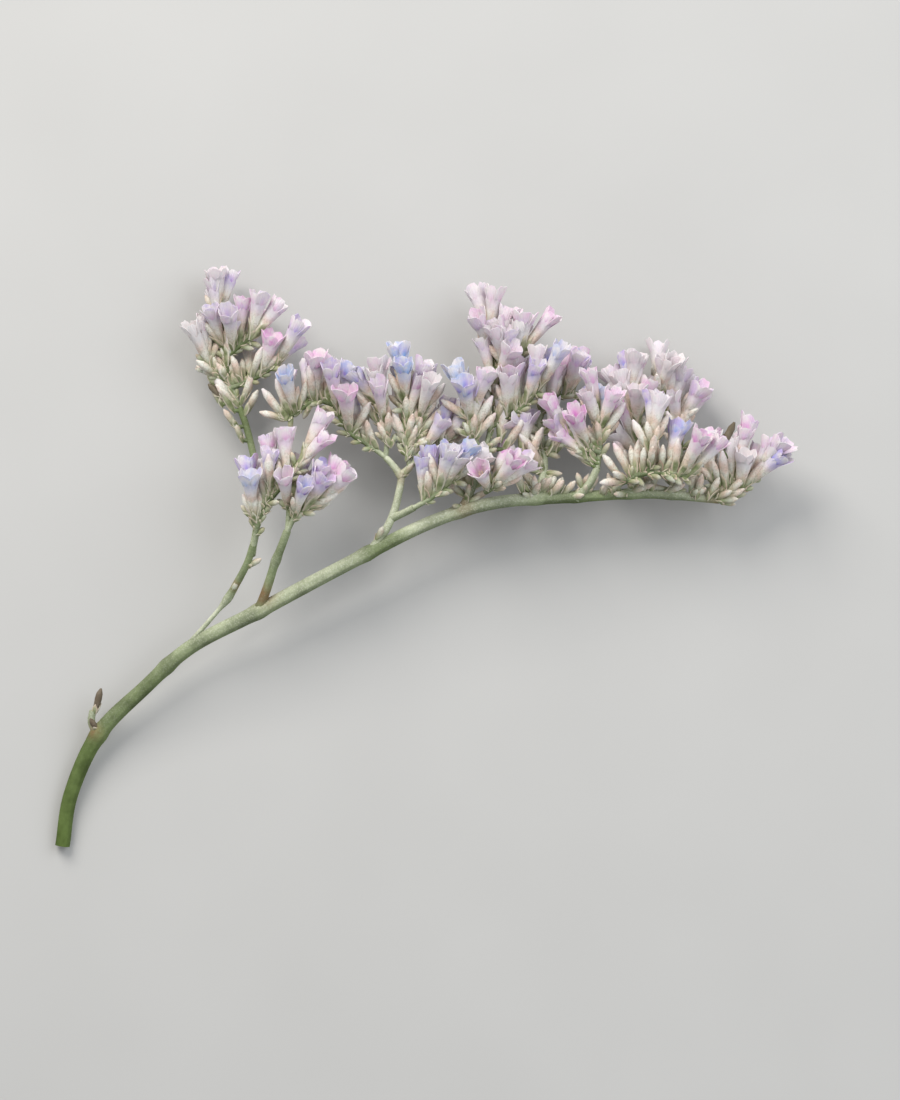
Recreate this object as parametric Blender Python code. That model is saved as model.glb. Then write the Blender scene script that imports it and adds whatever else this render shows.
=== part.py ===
"""Dried statice: one arching flowering branch, lying flat on its side.

Places and sizes in the tables are millimetres. X runs along the branch from its cut end,
Y points to the side that the flowers grow on, and Z is the height above the surface.
"""
import math
from typing import NamedTuple

import bmesh
import bpy
import numpy as np
from mathutils import Matrix, Vector

MM = 0.001

# Driving dimensions, in millimetres
STALK_BASE_DIAMETER = 1.05
STALK_TIP_DIAMETER = 0.85
TWIG_BASE_DIAMETER = 0.8
TWIG_TIP_DIAMETER = 0.62
FLORET_LENGTH = 6.3
ROOT_RADIUS = 0.26
CALYX_RADIUS = 0.74
MOUTH_RADIUS = 1.9
NOTCH_RADIUS = 1.3
PETAL_RIM = 0.6
BUD_LENGTH = 3.6
BUD_RADIUS = 0.75
BRACT_RADIUS = 0.5
STEM_ROUGHNESS = 0.7
FLOWER_ROUGHNESS = 0.6
NODE_GAP = 0.4
BOX_CENTRE = (-0.5, -0.4)
SURFACE_BLOCK = (200.0, 200.0, 10.0)

# Shares of a floret's length, and how the solids are cut into sides
CALYX_SHARE = 0.42
THROAT_SHARE = 0.55
BUD_WAIST_SHARE = 0.5
BUD_SHOULDER_SHARE = 0.82
BUD_SHOULDER_RADIUS_SHARE = 0.75
LOBES = 5
STEM_STEP = 5.0
TWIG_STEP = 3.0
ROOT_STEP = 0.25
STEM_SIDES = 8
TWIG_SIDES = 6

# How florets are spread before they are nudged apart
AIM_JITTER = 9.0
LEAN_JITTER = 8.0
LENGTH_JITTER = 0.1
TIP_SHARE = 0.3
SEED = 17

# Balls that stand for a floret: share of its length, and radius
OPEN_BALLS = ((0.25, 0.55), (0.45, 0.8), (0.66, 1.1), (0.83, 1.5), (0.95, 1.85))
BUD_BALLS = ((0.2, 0.5), (0.4, 0.7), (0.6, 0.75), (0.8, 0.65), (0.95, 0.45))
BALL_STEP = 0.6
STEM_CLEARANCE = 0.85
SAME_HEAD_SHARE = 0.76
NUDGE_STEPS = 240
NUDGE_SHARE = 0.25
PULL_BACK = 0.06
FLOOR_DIP = 0.6
LOBE_DROP = 0.5
NEAR = 7.0
NEAR_STEPS = 20
WELD = 0.00001
TINY = 1e-9
FLAT_ANGLE = math.radians(0.5)
CREASE_ANGLE = math.radians(50)

# Main stem: x, y, z and diameter from the cut end to the tip
MAIN_STEM = [
    (-44.5, -35.6, 0.8, 1.75), (-43.4, -29.2, 1.2, 1.75), (-40.0, -22.0, 2.2, 1.9),
    (-34.2, -16.2, 3.7, 1.7), (-28.6, -11.3, 5.0, 1.7), (-20.6, -7.1, 6.4, 1.75),
    (-10.6, -1.8, 7.5, 1.65), (-0.1, 3.5, 8.0, 1.55), (7.9, 6.0, 8.0, 1.5),
    (17.3, 6.7, 7.8, 1.35), (26.6, 7.1, 7.4, 1.15), (35.0, 6.4, 7.0, 0.95),
]

# Side stalks, each from inside the main stem to the foot of its flower head
STALKS = {
    "withered": [(-40.0, -22.0, 2.2), (-40.8, -20.5, 2.6), (-40.6, -19.1, 2.9)],
    "first": [
        (-31.6, -13.6, 4.4), (-28.6, -10.6, 5.2), (-26.4, -8.2, 5.8), (-24.2, -5.6, 6.6),
        (-22.9, -3.5, 7.4), (-21.7, -1.3, 8.4), (-20.9, 0.9, 9.4),
    ],
    "far_left": [
        (-21.2, -0.2, 8.9), (-20.7, 2.6, 6.9), (-20.5, 6.0, 5.0), (-20.7, 9.6, 4.1),
        (-21.3, 12.6, 3.7), (-22.1, 15.7, 3.6), (-22.8, 17.6, 3.6),
    ],
    "second": [
        (-20.4, -7.0, 6.5), (-19.2, -3.8, 7.8), (-18.4, -1.4, 8.8), (-17.5, 0.8, 9.8),
        (-16.8, 2.6, 10.6),
    ],
    "third": [
        (-7.3, -0.2, 7.7), (-5.2, 2.6, 8.0), (-4.1, 4.9, 8.1), (-3.4, 7.6, 8.2),
        (-3.1, 9.6, 8.2),
    ],
    "third_left": [(-3.2, 9.1, 8.2), (-4.1, 10.4, 8.2), (-5.1, 11.5, 8.1)],
    "third_right": [(-4.4, 4.2, 8.0), (-2.9, 4.8, 8.8), (-1.7, 5.4, 9.6)],
    "fourth": [(3.9, 4.9, 8.0), (5.0, 7.2, 8.0), (6.1, 10.0, 8.0), (6.9, 12.4, 8.2)],
    "fifth": [(12.9, 6.4, 7.9), (13.9, 9.6, 6.8), (13.8, 12.8, 6.2), (13.3, 15.6, 6.1)],
    "sixth": [(17.8, 6.5, 7.8), (19.4, 8.4, 8.6), (20.3, 10.2, 9.0)],
    "seventh": [(24.2, 7.0, 7.6), (25.2, 9.4, 6.6), (25.7, 11.6, 5.9)],
    "eighth": [(29.3, 6.8, 7.3), (30.1, 9.3, 6.0), (30.6, 11.2, 4.9)],
}

# Scale-like bracts on the stem: place, angle in the plane and lift towards +Z in degrees, length.
# The second one is the dried bud of the withered twig.
STEM_BRACTS = [
    ((-39.9, -21.8, 2.5), 120, 20, 2.2), ((-40.5, -19.6, 2.9), 74, 5, 3.4),
    ((-31.2, -13.1, 4.6), 75, 10, 2.4), ((-23.9, -5.2, 6.7), 60, 25, 2.4),
    ((-21.9, -1.8, 8.2), 30, 20, 2.4), ((-20.0, -5.9, 6.8), 95, 25, 2.4),
    ((-6.3, 1.2, 7.9), 65, 25, 2.4), ((-3.2, 9.0, 8.2), 0, 25, 2.4),
    ((4.6, 6.2, 8.1), 80, 30, 2.4), ((13.1, 7.2, 7.8), 60, 30, 2.4),
    ((18.6, 7.5, 8.2), 110, 20, 2.4), ((24.5, 7.6, 7.5), 110, 30, 2.4),
    ((29.5, 7.3, 7.2), 60, 30, 2.4), ((13.9, 10.2, 6.7), 130, 20, 2.6),
    ((13.9, 12.2, 6.3), 60, 20, 2.6), ((5.3, 8.0, 8.1), 110, 20, 2.4), ((30.3, 10.1, 5.9), 65, 20, 2.4),
]


class Twig(NamedTuple):
    """A thin twig of a flower head, with florets in a front row and a back row."""

    points: list
    florets: int
    aim: tuple
    lean: float = 30.0
    buds: int = 0
    first: float = 0.3
    fan: float = 8.0


HEADS = {
    "flower_head_01": [
        Twig([(-22.9, 18.0, 3.7), (-23.9, 20.6, 3.8), (-24.5, 24.2, 4.0), (-25.1, 26.6, 4.2),
              (-25.3, 28.6, 4.4)], 8, (104, 90), 20, 1, 0.2, 12),
        Twig([(-23.7, 20.0, 3.8), (-22.2, 20.6, 4.1), (-20.4, 21.4, 4.8), (-18.4, 22.6, 5.4)],
             5, (102, 52), 20, 1, 0.25),
        Twig([(-24.4, 23.6, 4.0), (-22.8, 25.0, 4.9), (-21.4, 25.8, 5.7)], 3, (84, 60), 18, 0, 0.3),
        Twig([(-23.9, 20.6, 3.8), (-25.5, 21.4, 4.2), (-26.6, 22.8, 4.4)], 4, (122, 98), 14, 2, 0.4),
    ],
    "flower_head_02": [
        Twig([(-20.7, 1.5, 9.8), (-20.3, 3.4, 10.4), (-19.3, 5.8, 11.0), (-18.4, 8.2, 11.2)],
             4, (80, 90), 16, 1, 0.3),
        Twig([(-20.4, 2.9, 10.2), (-20.9, 4.2, 10.6), (-21.1, 5.2, 10.8)], 2, (96, 90), 10, 0, 0.6, 0),
        Twig([(-19.3, 5.8, 11.0), (-17.5, 8.0, 11.0), (-15.8, 10.2, 11.2)], 3, (78, 60), 13, 1, 0.4),
    ],
    "flower_head_03": [
        Twig([(-16.5, 3.1, 10.8), (-15.8, 4.4, 11.2), (-14.6, 5.2, 11.4), (-13.4, 5.8, 11.4)],
             5, (84, 46), 18, 0, 0.3),
        Twig([(-16.2, 3.8, 11.0), (-16.6, 5.2, 10.6), (-16.4, 6.4, 10.2)], 2, (84, 66), 16, 0, 0.5),
    ],
    "flower_head_04": [
        Twig([(-5.4, 11.9, 8.1), (-7.2, 13.0, 8.3), (-9.1, 14.2, 8.6), (-10.3, 15.8, 8.8),
              (-11.2, 17.6, 8.8), (-13.4, 18.2, 8.6), (-15.6, 17.0, 8.4), (-17.0, 16.0, 8.2)],
             10, (90, 94), 18, 1, 0.12),
    ],
    "flower_head_05": [
        Twig([(-4.3, 12.1, 8.8), (-4.9, 14.0, 8.6), (-5.4, 16.2, 8.5), (-5.6, 17.4, 8.5)],
             6, (92, 98), 18, 2, 0.3),
    ],
    "flower_head_06": [
        Twig([(-2.6, 10.5, 8.7), (-2.6, 13.0, 8.7), (-2.6, 16.4, 8.7), (-2.9, 19.2, 8.6)],
             6, (74, 84), 18, 1, 0.35),
        Twig([(-2.6, 12.0, 8.7), (-1.6, 13.2, 8.3), (-1.2, 15.0, 8.2), (-1.0, 16.8, 8.4)],
             4, (90, 62), 15, 1, 0.5),
    ],
    "flower_head_07": [
        Twig([(0.6, 9.4, 8.2), (1.1, 11.0, 7.6), (1.4, 12.4, 7.4), (1.9, 13.6, 7.4)],
             6, (105, 62), 18, 1, 0.35),
    ],
    "flower_head_08": [
        Twig([(-1.2, 5.8, 9.8), (0.2, 6.5, 10.2), (1.6, 7.6, 10.4), (2.8, 8.6, 10.4)],
             6, (84, 56), 17, 1, 0.3),
    ],
    "flower_head_09": [
        Twig([(6.9, 7.3, 8.8), (7.4, 7.6, 9.8), (7.8, 7.8, 10.8)], 4, (88, 32), 22, 0, 0.5),
    ],
    "flower_head_10": [
        Twig([(5.8, 12.2, 8.8), (5.2, 14.0, 9.0), (5.0, 15.2, 9.0), (5.3, 16.6, 9.0)],
             7, (98, 90), 16, 2, 0.3),
    ],
    "flower_head_11": [
        Twig([(7.1, 12.9, 8.1), (7.5, 15.1, 8.0), (7.8, 17.8, 7.6), (8.2, 20.8, 7.2),
              (7.9, 23.6, 6.6), (7.4, 25.8, 6.2)], 7, (80, 78), 20, 1, 0.35),
        Twig([(8.2, 20.2, 7.3), (9.6, 22.0, 7.2), (11.2, 23.8, 7.2)], 3, (84, 60), 17, 0, 0.4),
        Twig([(7.5, 15.1, 8.0), (9.4, 16.2, 8.4), (11.6, 17.8, 8.8), (13.2, 19.6, 9.0)],
             5, (86, 60), 20, 0, 0.35),
    ],
    "flower_head_12": [
        Twig([(13.4, 16.1, 6.1), (14.2, 17.8, 5.9), (15.6, 18.8, 5.7), (17.2, 19.0, 5.7)],
             6, (86, 70), 19, 0, 0.3),
    ],
    "flower_head_13": [
        Twig([(20.5, 10.7, 9.2), (20.6, 13.0, 9.6), (20.4, 16.4, 9.6)], 5, (76, 94), 17, 1, 0.35),
        Twig([(20.6, 12.0, 9.5), (18.8, 12.8, 10.0), (17.2, 13.6, 10.2)], 3, (100, 116), 40, 0, 0.4),
    ],
    "flower_head_14": [
        Twig([(25.8, 12.2, 5.8), (25.4, 14.6, 5.5), (24.6, 16.8, 5.4), (24.2, 18.4, 5.4)],
             8, (112, 94), 19, 2, 0.25),
    ],
    "flower_head_15": [
        Twig([(30.8, 11.8, 4.7), (30.2, 14.4, 4.3), (28.9, 16.8, 4.2), (27.8, 18.6, 4.2),
              (27.5, 19.8, 4.2)], 8, (54, 90), 19, 1, 0.2),
    ],
    "flower_head_16": [
        Twig([(23.2, 8.4, 9.0), (25.4, 9.4, 10.2), (27.8, 9.6, 10.4), (31.0, 9.2, 10.2)],
             8, (112, 50), 16, 5, 0.1),
        Twig([(26.2, 9.5, 10.3), (26.8, 11.4, 10.8), (26.6, 13.4, 10.8)], 4, (76, 98), 16, 3, 0.3),
    ],
    "flower_head_17": [
        Twig([(35.8, 6.4, 7.0), (37.2, 7.2, 6.8), (38.8, 8.6, 6.6)], 4, (66, 46), 17, 0, 0.4),
        Twig([(36.3, 6.8, 7.0), (36.5, 8.6, 7.0), (37.0, 10.2, 7.0)], 3, (85, 66), 17, 0, 0.4),
        Twig([(36.3, 6.8, 7.0), (35.0, 7.8, 7.2), (33.9, 8.9, 7.4)], 3, (112, 92), 17, 1, 0.5),
    ],
}

GREEN = (0.36, 0.42, 0.24)
LILAC = (0.78, 0.66, 0.80)


def smooth_path(points, step):
    """Catmull-Rom curve through the points: each span is a cubic from its four neighbours."""
    control = np.asarray(points, float)
    control = np.vstack([2 * control[0] - control[1], control, 2 * control[-1] - control[-2]])
    samples = []
    for i in range(1, len(control) - 2):
        a, b, c, d = control[i - 1:i + 3]
        count = max(1, round(np.linalg.norm((c - b)[:3]) / step))
        t = (np.arange(count) / count)[:, None]
        samples.append(0.5 * (2 * b + (c - a) * t + (2 * a - 5 * b + 4 * c - d) * t ** 2
                              + (3 * b - a - 3 * c + d) * t ** 3))
    return np.vstack(samples + [control[-2:-1]])


def tapered(points, base, tip):
    """Adds a diameter to each point, from base to tip along the list."""
    widths = np.linspace(base, tip, len(points))
    return [tuple(point) + (width,) for point, width in zip(points, widths)]


def direction(aim, lean):
    """Unit vector at an angle in the XY plane, raised towards +Z by the lean."""
    a = math.radians(aim)
    b = math.radians(lean)
    return np.array([math.cos(b) * math.cos(a), math.cos(b) * math.sin(a), math.sin(b)])


class Floret(NamedTuple):
    """Where a floret or bud grows: its root, direction, length, roll, and whether it is open."""

    head: str
    root: np.ndarray
    way: np.ndarray
    length: float
    roll: float
    is_open: bool


def plant_florets():
    """Places florets evenly along each twig, in a front and a back row by turns."""
    florets = []
    for index, (head, twigs) in enumerate(HEADS.items()):
        draw = np.random.default_rng((SEED, index))
        for twig in twigs:
            path = smooth_path(twig.points, ROOT_STEP)
            for k in range(twig.florets):
                share = k / max(1, twig.florets - 1)
                along = twig.first + (1 - twig.first) * share
                root = path[round(along * (len(path) - 1))]
                row = 1 if k % 2 == 0 else -1
                side = 1 if k // 2 % 2 == 0 else -1
                inward = TIP_SHARE if share == 1 else 1.0
                lean = row * twig.lean * inward
                aim = twig.aim[0] + (twig.aim[1] - twig.aim[0]) * share + side * twig.fan * inward
                jitter = draw.uniform(-1, 1, 4)
                way = direction(aim + AIM_JITTER * jitter[0], lean + LEAN_JITTER * jitter[1])
                is_open = k >= twig.buds
                length = FLORET_LENGTH if is_open else BUD_LENGTH
                length *= 1 + LENGTH_JITTER * jitter[2]
                florets.append(Floret(head, root, way, length, math.pi * jitter[3], is_open))
    return florets


def strung_balls(points, radius):
    """Balls along a smooth path, close enough to stand for a tube of that radius."""
    path = smooth_path([point[:3] for point in points], BALL_STEP)
    return np.column_stack([path, np.full(len(path), radius)])


def fixed_balls():
    """Balls of the stem, owned by no head, and of each head's twigs, owned by that head."""
    balls = [strung_balls(MAIN_STEM, STEM_CLEARANCE)]
    balls += [strung_balls(points, STALK_BASE_DIAMETER / 2) for points in STALKS.values()]
    for spot, aim, lift, length in STEM_BRACTS:
        tip = np.array(spot) + length * direction(aim, lift)
        balls.append(strung_balls([spot, tip], BRACT_RADIUS))
    owners = [-1] * sum(len(ball) for ball in balls)
    for index, twigs in enumerate(HEADS.values()):
        for twig in twigs:
            balls.append(strung_balls(twig.points, TWIG_BASE_DIAMETER / 2))
            owners += [index] * len(balls[-1])
    return np.vstack(balls), np.array(owners)


def near_pairs(centres, radii, owners, floret_of, fixed, fixed_owners):
    """Pairs of balls that could meet, the distance each pair needs, and its share of a push.

    Balls of one head may overlap a little. Balls of two heads, or of a head and the stem, keep
    the gap between nodes. A head's own twigs don't push its florets.
    """
    everyone = np.vstack([centres, fixed[:, :3]])
    all_radii = np.concatenate([radii, fixed[:, 3]])
    all_owners = np.concatenate([owners, fixed_owners])
    moving = len(centres)
    apart = np.linalg.norm(centres[:, None] - everyone[None], axis=2)
    near = apart < NEAR
    near[:, :moving] &= floret_of[:, None] != floret_of[None]
    near[:, moving:] &= owners[:, None] != fixed_owners[None]
    one, other = np.nonzero(near)
    reach = radii[one] + all_radii[other]
    same = owners[one] == all_owners[other]
    needed = np.where(same, reach * SAME_HEAD_SHARE, reach + NODE_GAP)
    weight = np.where(other < moving, 0.5, 1.0)
    return one, other, needed, weight


def nudge_apart(florets):
    """Turns florets about their roots until each head clears the other heads and the stem.

    Five balls stand for each floret. A step pushes overlapping balls apart, lifts those below
    the surface, and turns every floret by the push over the ball's distance from its root.
    """
    heads = list(HEADS)
    strings = np.array([OPEN_BALLS if floret.is_open else BUD_BALLS for floret in florets])
    roots = np.array([floret.root for floret in florets])
    first_ways = np.array([floret.way for floret in florets])
    arms = strings[:, :, 0] * np.array([floret.length for floret in florets])[:, None]
    radii = strings[:, :, 1].ravel()
    count = strings.shape[1]
    floret_of = np.repeat(np.arange(len(florets)), count)
    owners = np.array([heads.index(floret.head) for floret in florets])[floret_of]
    fixed, fixed_owners = fixed_balls()
    ways = first_ways.copy()
    for step in range(NUDGE_STEPS):
        centres = (roots[:, None] + arms[..., None] * ways[:, None]).reshape(-1, 3)
        if step % NEAR_STEPS == 0:
            one, other, needed, weight = near_pairs(centres, radii, owners, floret_of, fixed,
                                                    fixed_owners)
        between = centres[one] - np.vstack([centres, fixed[:, :3]])[other]
        apart = np.linalg.norm(between, axis=1) + TINY
        push = between * (np.clip(needed - apart, 0, None) * weight / apart)[:, None]
        total = np.column_stack([np.bincount(one, push[:, axis], len(centres))
                                 for axis in range(3)])
        total[:, 2] += np.clip(radii - FLOOR_DIP - centres[:, 2], 0, None)
        turn = (total.reshape(-1, count, 3) / arms[..., None]).sum(axis=1) * NUDGE_SHARE
        pull = PULL_BACK * (1 - step / NUDGE_STEPS)
        ways = ways + turn + pull * (first_ways - ways)
        ways /= np.linalg.norm(ways, axis=1)[:, None]
    return [floret._replace(way=way) for floret, way in zip(florets, ways)]


def clear_scene():
    for item in list(bpy.data.objects):
        bpy.data.objects.remove(item, do_unlink=True)


def make_collection(name):
    collection = bpy.data.collections.new(name)
    bpy.context.scene.collection.children.link(collection)
    return collection


def material(name, colour, roughness):
    made = bpy.data.materials.new(name)
    made.use_nodes = True
    shader = made.node_tree.nodes["Principled BSDF"]
    shader.inputs["Base Color"].default_value = (*colour, 1)
    shader.inputs["Roughness"].default_value = roughness
    shader.inputs["Metallic"].default_value = 0
    return made


def place(point):
    """A point of the tables in metres, with the origin under the middle of the branch."""
    return Vector(((point[0] - BOX_CENTRE[0]) * MM, (point[1] - BOX_CENTRE[1]) * MM,
                   point[2] * MM))


def tube(name, points, sides, collection):
    """A round tube through points of x, y, z and diameter, closed at both ends."""
    curve = bpy.data.curves.new(name, "CURVE")
    curve.dimensions = "3D"
    curve.bevel_depth = MM / 2
    curve.bevel_resolution = (sides - 4) // 2
    curve.use_fill_caps = True
    spline = curve.splines.new("POLY")
    spline.points.add(len(points) - 1)
    for target, point in zip(spline.points, points):
        target.co = (*place(point), 1)
        target.radius = point[3]
    guide = bpy.data.objects.new(name, curve)
    collection.objects.link(guide)
    bpy.context.view_layer.update()
    ready = guide.evaluated_get(bpy.context.evaluated_depsgraph_get())
    mesh = bpy.data.meshes.new_from_object(ready)
    bpy.data.objects.remove(guide, do_unlink=True)
    tidy = bmesh.new()
    tidy.from_mesh(mesh)
    bmesh.ops.remove_doubles(tidy, verts=tidy.verts, dist=WELD)
    bmesh.ops.triangulate(tidy, faces=tidy.faces)
    bmesh.ops.recalc_face_normals(tidy, faces=tidy.faces)
    tidy.to_mesh(mesh)
    tidy.free()
    return new_object(name, mesh, collection)


def new_object(name, mesh, collection):
    made = bpy.data.objects.new(name, mesh)
    collection.objects.link(made)
    return made


def move_origin(item, foot):
    """Puts an object's origin at its foot and leaves its shape where it is."""
    item.data.transform(Matrix.Translation(-foot))
    item.location = foot


def ring(radius, height, angles):
    """Points round the floret's axis, one for each angle."""
    radius = np.broadcast_to(radius, angles.shape)
    height = np.broadcast_to(height, angles.shape)
    return [(r * math.cos(a), r * math.sin(a), h) for r, h, a in zip(radius, height, angles)]


def even_angles(count):
    return np.arange(count) * 2 * math.pi / count


def band(low, high, count):
    """Faces between two rings of the same count, facing out."""
    return [(low + i, low + (i + 1) % count, high + (i + 1) % count, high + i)
            for i in range(count)]


def flared_band(low, high):
    """Faces from a ring of five points to the ring of five notches and five lobes."""
    faces = []
    for i in range(LOBES):
        a, b = low + i, low + (i + 1) % LOBES
        notch, lobe, next_notch = high + 2 * i, high + 2 * i + 1, high + (2 * i + 2) % (2 * LOBES)
        faces += [(a, lobe, notch), (a, b, lobe), (b, next_notch, lobe)]
    return faces


def open_floret(length):
    """A closed solid: calyx tube, five-lobed trumpet, rim of even thickness, cone throat."""
    star = 2 * LOBES
    reach = np.tile([NOTCH_RADIUS, MOUTH_RADIUS], LOBES)
    notch_drop = np.tile([LOBE_DROP, 0.0], LOBES)
    points = ring(ROOT_RADIUS, 0, even_angles(LOBES))
    points += ring(CALYX_RADIUS, length * CALYX_SHARE, even_angles(LOBES))
    points += ring(reach, length - PETAL_RIM - notch_drop, even_angles(star))
    points += ring(reach - PETAL_RIM / 2, length - notch_drop, even_angles(star))
    points.append((0, 0, length * THROAT_SHARE))
    rim, mouth, throat = star, 2 * star, 3 * star
    faces = [tuple(range(LOBES))[::-1]] + band(0, LOBES, LOBES)
    faces += flared_band(LOBES, rim) + band(rim, mouth, star)
    faces += [(mouth + i, mouth + (i + 1) % star, throat) for i in range(star)]
    return points, faces


def closed_bud(length, radius=BUD_RADIUS):
    """A closed solid: a spindle with a blunt foot, fullest at the middle and pointed at the tip."""
    five = even_angles(LOBES)
    points = ring(ROOT_RADIUS, 0, five) + ring(radius, length * BUD_WAIST_SHARE, five)
    points += ring(radius * BUD_SHOULDER_RADIUS_SHARE, length * BUD_SHOULDER_SHARE, five)
    points.append((0, 0, length))
    faces = [tuple(range(LOBES))[::-1]] + band(0, LOBES, LOBES) + band(LOBES, 2 * LOBES, LOBES)
    faces += [(2 * LOBES + i, 2 * LOBES + (i + 1) % LOBES, 3 * LOBES) for i in range(LOBES)]
    return points, faces


def grown(name, shape, root, way, roll, collection):
    """A solid turned from +Z to its way, rolled about it, and set at its root."""
    points, faces = shape
    turn = Vector((0, 0, 1)).rotation_difference(Vector(way))
    spin = np.array([[math.cos(roll), math.sin(roll), 0], [-math.sin(roll), math.cos(roll), 0],
                     [0, 0, 1]])
    placed = [place(Vector(root) + turn @ Vector(point)) for point in np.array(points) @ spin]
    mesh = bpy.data.meshes.new(name)
    mesh.from_pydata(placed, [], faces)
    tidy = bmesh.new()
    tidy.from_mesh(mesh)
    bmesh.ops.triangulate(tidy, faces=tidy.faces)
    tidy.to_mesh(mesh)
    tidy.free()
    return new_object(name, mesh, collection)


def outer_shell(mesh):
    """Keeps the largest closed shell: fills hollows that fusing sealed, drops loose scraps."""
    shells = bmesh.new()
    shells.from_mesh(mesh)
    bmesh.ops.triangulate(shells, faces=shells.faces)
    left = set(shells.faces)
    groups = []
    while left:
        group = set()
        to_visit = [left.pop()]
        while to_visit:
            face = to_visit.pop()
            group.add(face)
            for edge in face.edges:
                for other in edge.link_faces:
                    if other in left:
                        left.remove(other)
                        to_visit.append(other)
        groups.append(group)
    keep = max(groups, key=shell_volume)
    scraps = [face for group in groups if group is not keep for face in group]
    bmesh.ops.delete(shells, geom=scraps, context="FACES")
    bmesh.ops.dissolve_limit(shells, angle_limit=FLAT_ANGLE, verts=shells.verts, edges=shells.edges)
    bmesh.ops.triangulate(shells, faces=shells.faces)
    shells.to_mesh(mesh)
    shells.free()


def shell_volume(faces):
    """Signed volume inside a group of triangles."""
    return sum(face.verts[0].co.dot(face.verts[1].co.cross(face.verts[2].co)) for face in faces)


def fuse(name, solids, pieces, surface, finish):
    """Joins a collection of solids to the first one, and trims what dips below the surface."""
    body = solids[0]
    pieces.objects.unlink(body)
    bpy.context.scene.collection.objects.link(body)
    join = body.modifiers.new("join", "BOOLEAN")
    join.operation = "UNION"
    join.operand_type = "COLLECTION"
    join.collection = pieces
    trim = body.modifiers.new("trim", "BOOLEAN")
    trim.operation = "DIFFERENCE"
    trim.object = surface
    bpy.context.view_layer.update()
    ready = body.evaluated_get(bpy.context.evaluated_depsgraph_get())
    mesh = bpy.data.meshes.new_from_object(ready)
    for solid in solids:
        bpy.data.objects.remove(solid, do_unlink=True)
    outer_shell(mesh)
    mesh.materials.clear()
    mesh.materials.append(finish)
    mesh.shade_smooth()
    mesh.set_sharp_from_angle(angle=CREASE_ANGLE)
    mesh.name = name
    return mesh


def surface_block(guides):
    """A block under the surface that the branch lies on, which flattens what dips into it."""
    width, depth, height = SURFACE_BLOCK
    bpy.ops.mesh.primitive_cube_add(size=1, location=(0, 0, -height / 2 * MM))
    block = bpy.context.object
    block.name = "surface_below"
    block.scale = (width * MM, depth * MM, height * MM)
    for collection in list(block.users_collection):
        collection.objects.unlink(block)
    guides.objects.link(block)
    block.hide_render = True
    block.display_type = "WIRE"
    return block


def stem_solids(pieces):
    solids = [tube("main", smooth_path(MAIN_STEM, STEM_STEP), STEM_SIDES, pieces)]
    for name, points in STALKS.items():
        path = smooth_path(tapered(points, STALK_BASE_DIAMETER, STALK_TIP_DIAMETER), TWIG_STEP)
        solids.append(tube(name, path, TWIG_SIDES, pieces))
    for index, (spot, aim, lift, length) in enumerate(STEM_BRACTS):
        shape = closed_bud(length, BRACT_RADIUS)
        solids.append(grown(f"bract_{index}", shape, spot, direction(aim, lift), 0, pieces))
    return solids


def head_solids(head, florets, pieces):
    solids = []
    for index, twig in enumerate(HEADS[head]):
        path = smooth_path(tapered(twig.points, TWIG_BASE_DIAMETER, TWIG_TIP_DIAMETER), TWIG_STEP)
        solids.append(tube(f"{head}_twig_{index}", path, TWIG_SIDES, pieces))
    for index, floret in enumerate(florets):
        shape = open_floret(floret.length) if floret.is_open else closed_bud(floret.length)
        solids.append(grown(f"{head}_floret_{index}", shape, floret.root, floret.way,
                            floret.roll, pieces))
    return solids


def build():
    clear_scene()
    branch = make_collection("dried_statice")
    guides = make_collection("guides")
    surface = surface_block(guides)
    stem_finish = material("stem_green", GREEN, STEM_ROUGHNESS)
    flower_finish = material("papery_lilac", LILAC, FLOWER_ROUGHNESS)
    pieces = make_collection("pieces_to_join")
    mesh = fuse("stem", stem_solids(pieces), pieces, surface, stem_finish)
    stem = new_object("stem", mesh, branch)
    move_origin(stem, place(MAIN_STEM[0]))
    florets = nudge_apart(plant_florets())
    for head, twigs in HEADS.items():
        own = [floret for floret in florets if floret.head == head]
        mesh = fuse(head, head_solids(head, own, pieces), pieces, surface, flower_finish)
        flowers = new_object(head, mesh, branch)
        flowers.parent = stem
        flowers.matrix_parent_inverse = Matrix.Translation(-stem.location)
        move_origin(flowers, place(twigs[0].points[0]))
    bpy.data.collections.remove(pieces)


build()
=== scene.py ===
"""Dried statice: one arching flowering branch that lies on a pale surface, seen from above.

The layout is worked out in millimetres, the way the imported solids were: X runs along the branch
from its cut end, Y points to the side that the flowers grow on, and Z is the height above the
surface. The stem and each flower head are then fine skins: closed surfaces that are worked out
with numpy, each on a grid of two parameters.
"""
import math
from typing import NamedTuple

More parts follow.
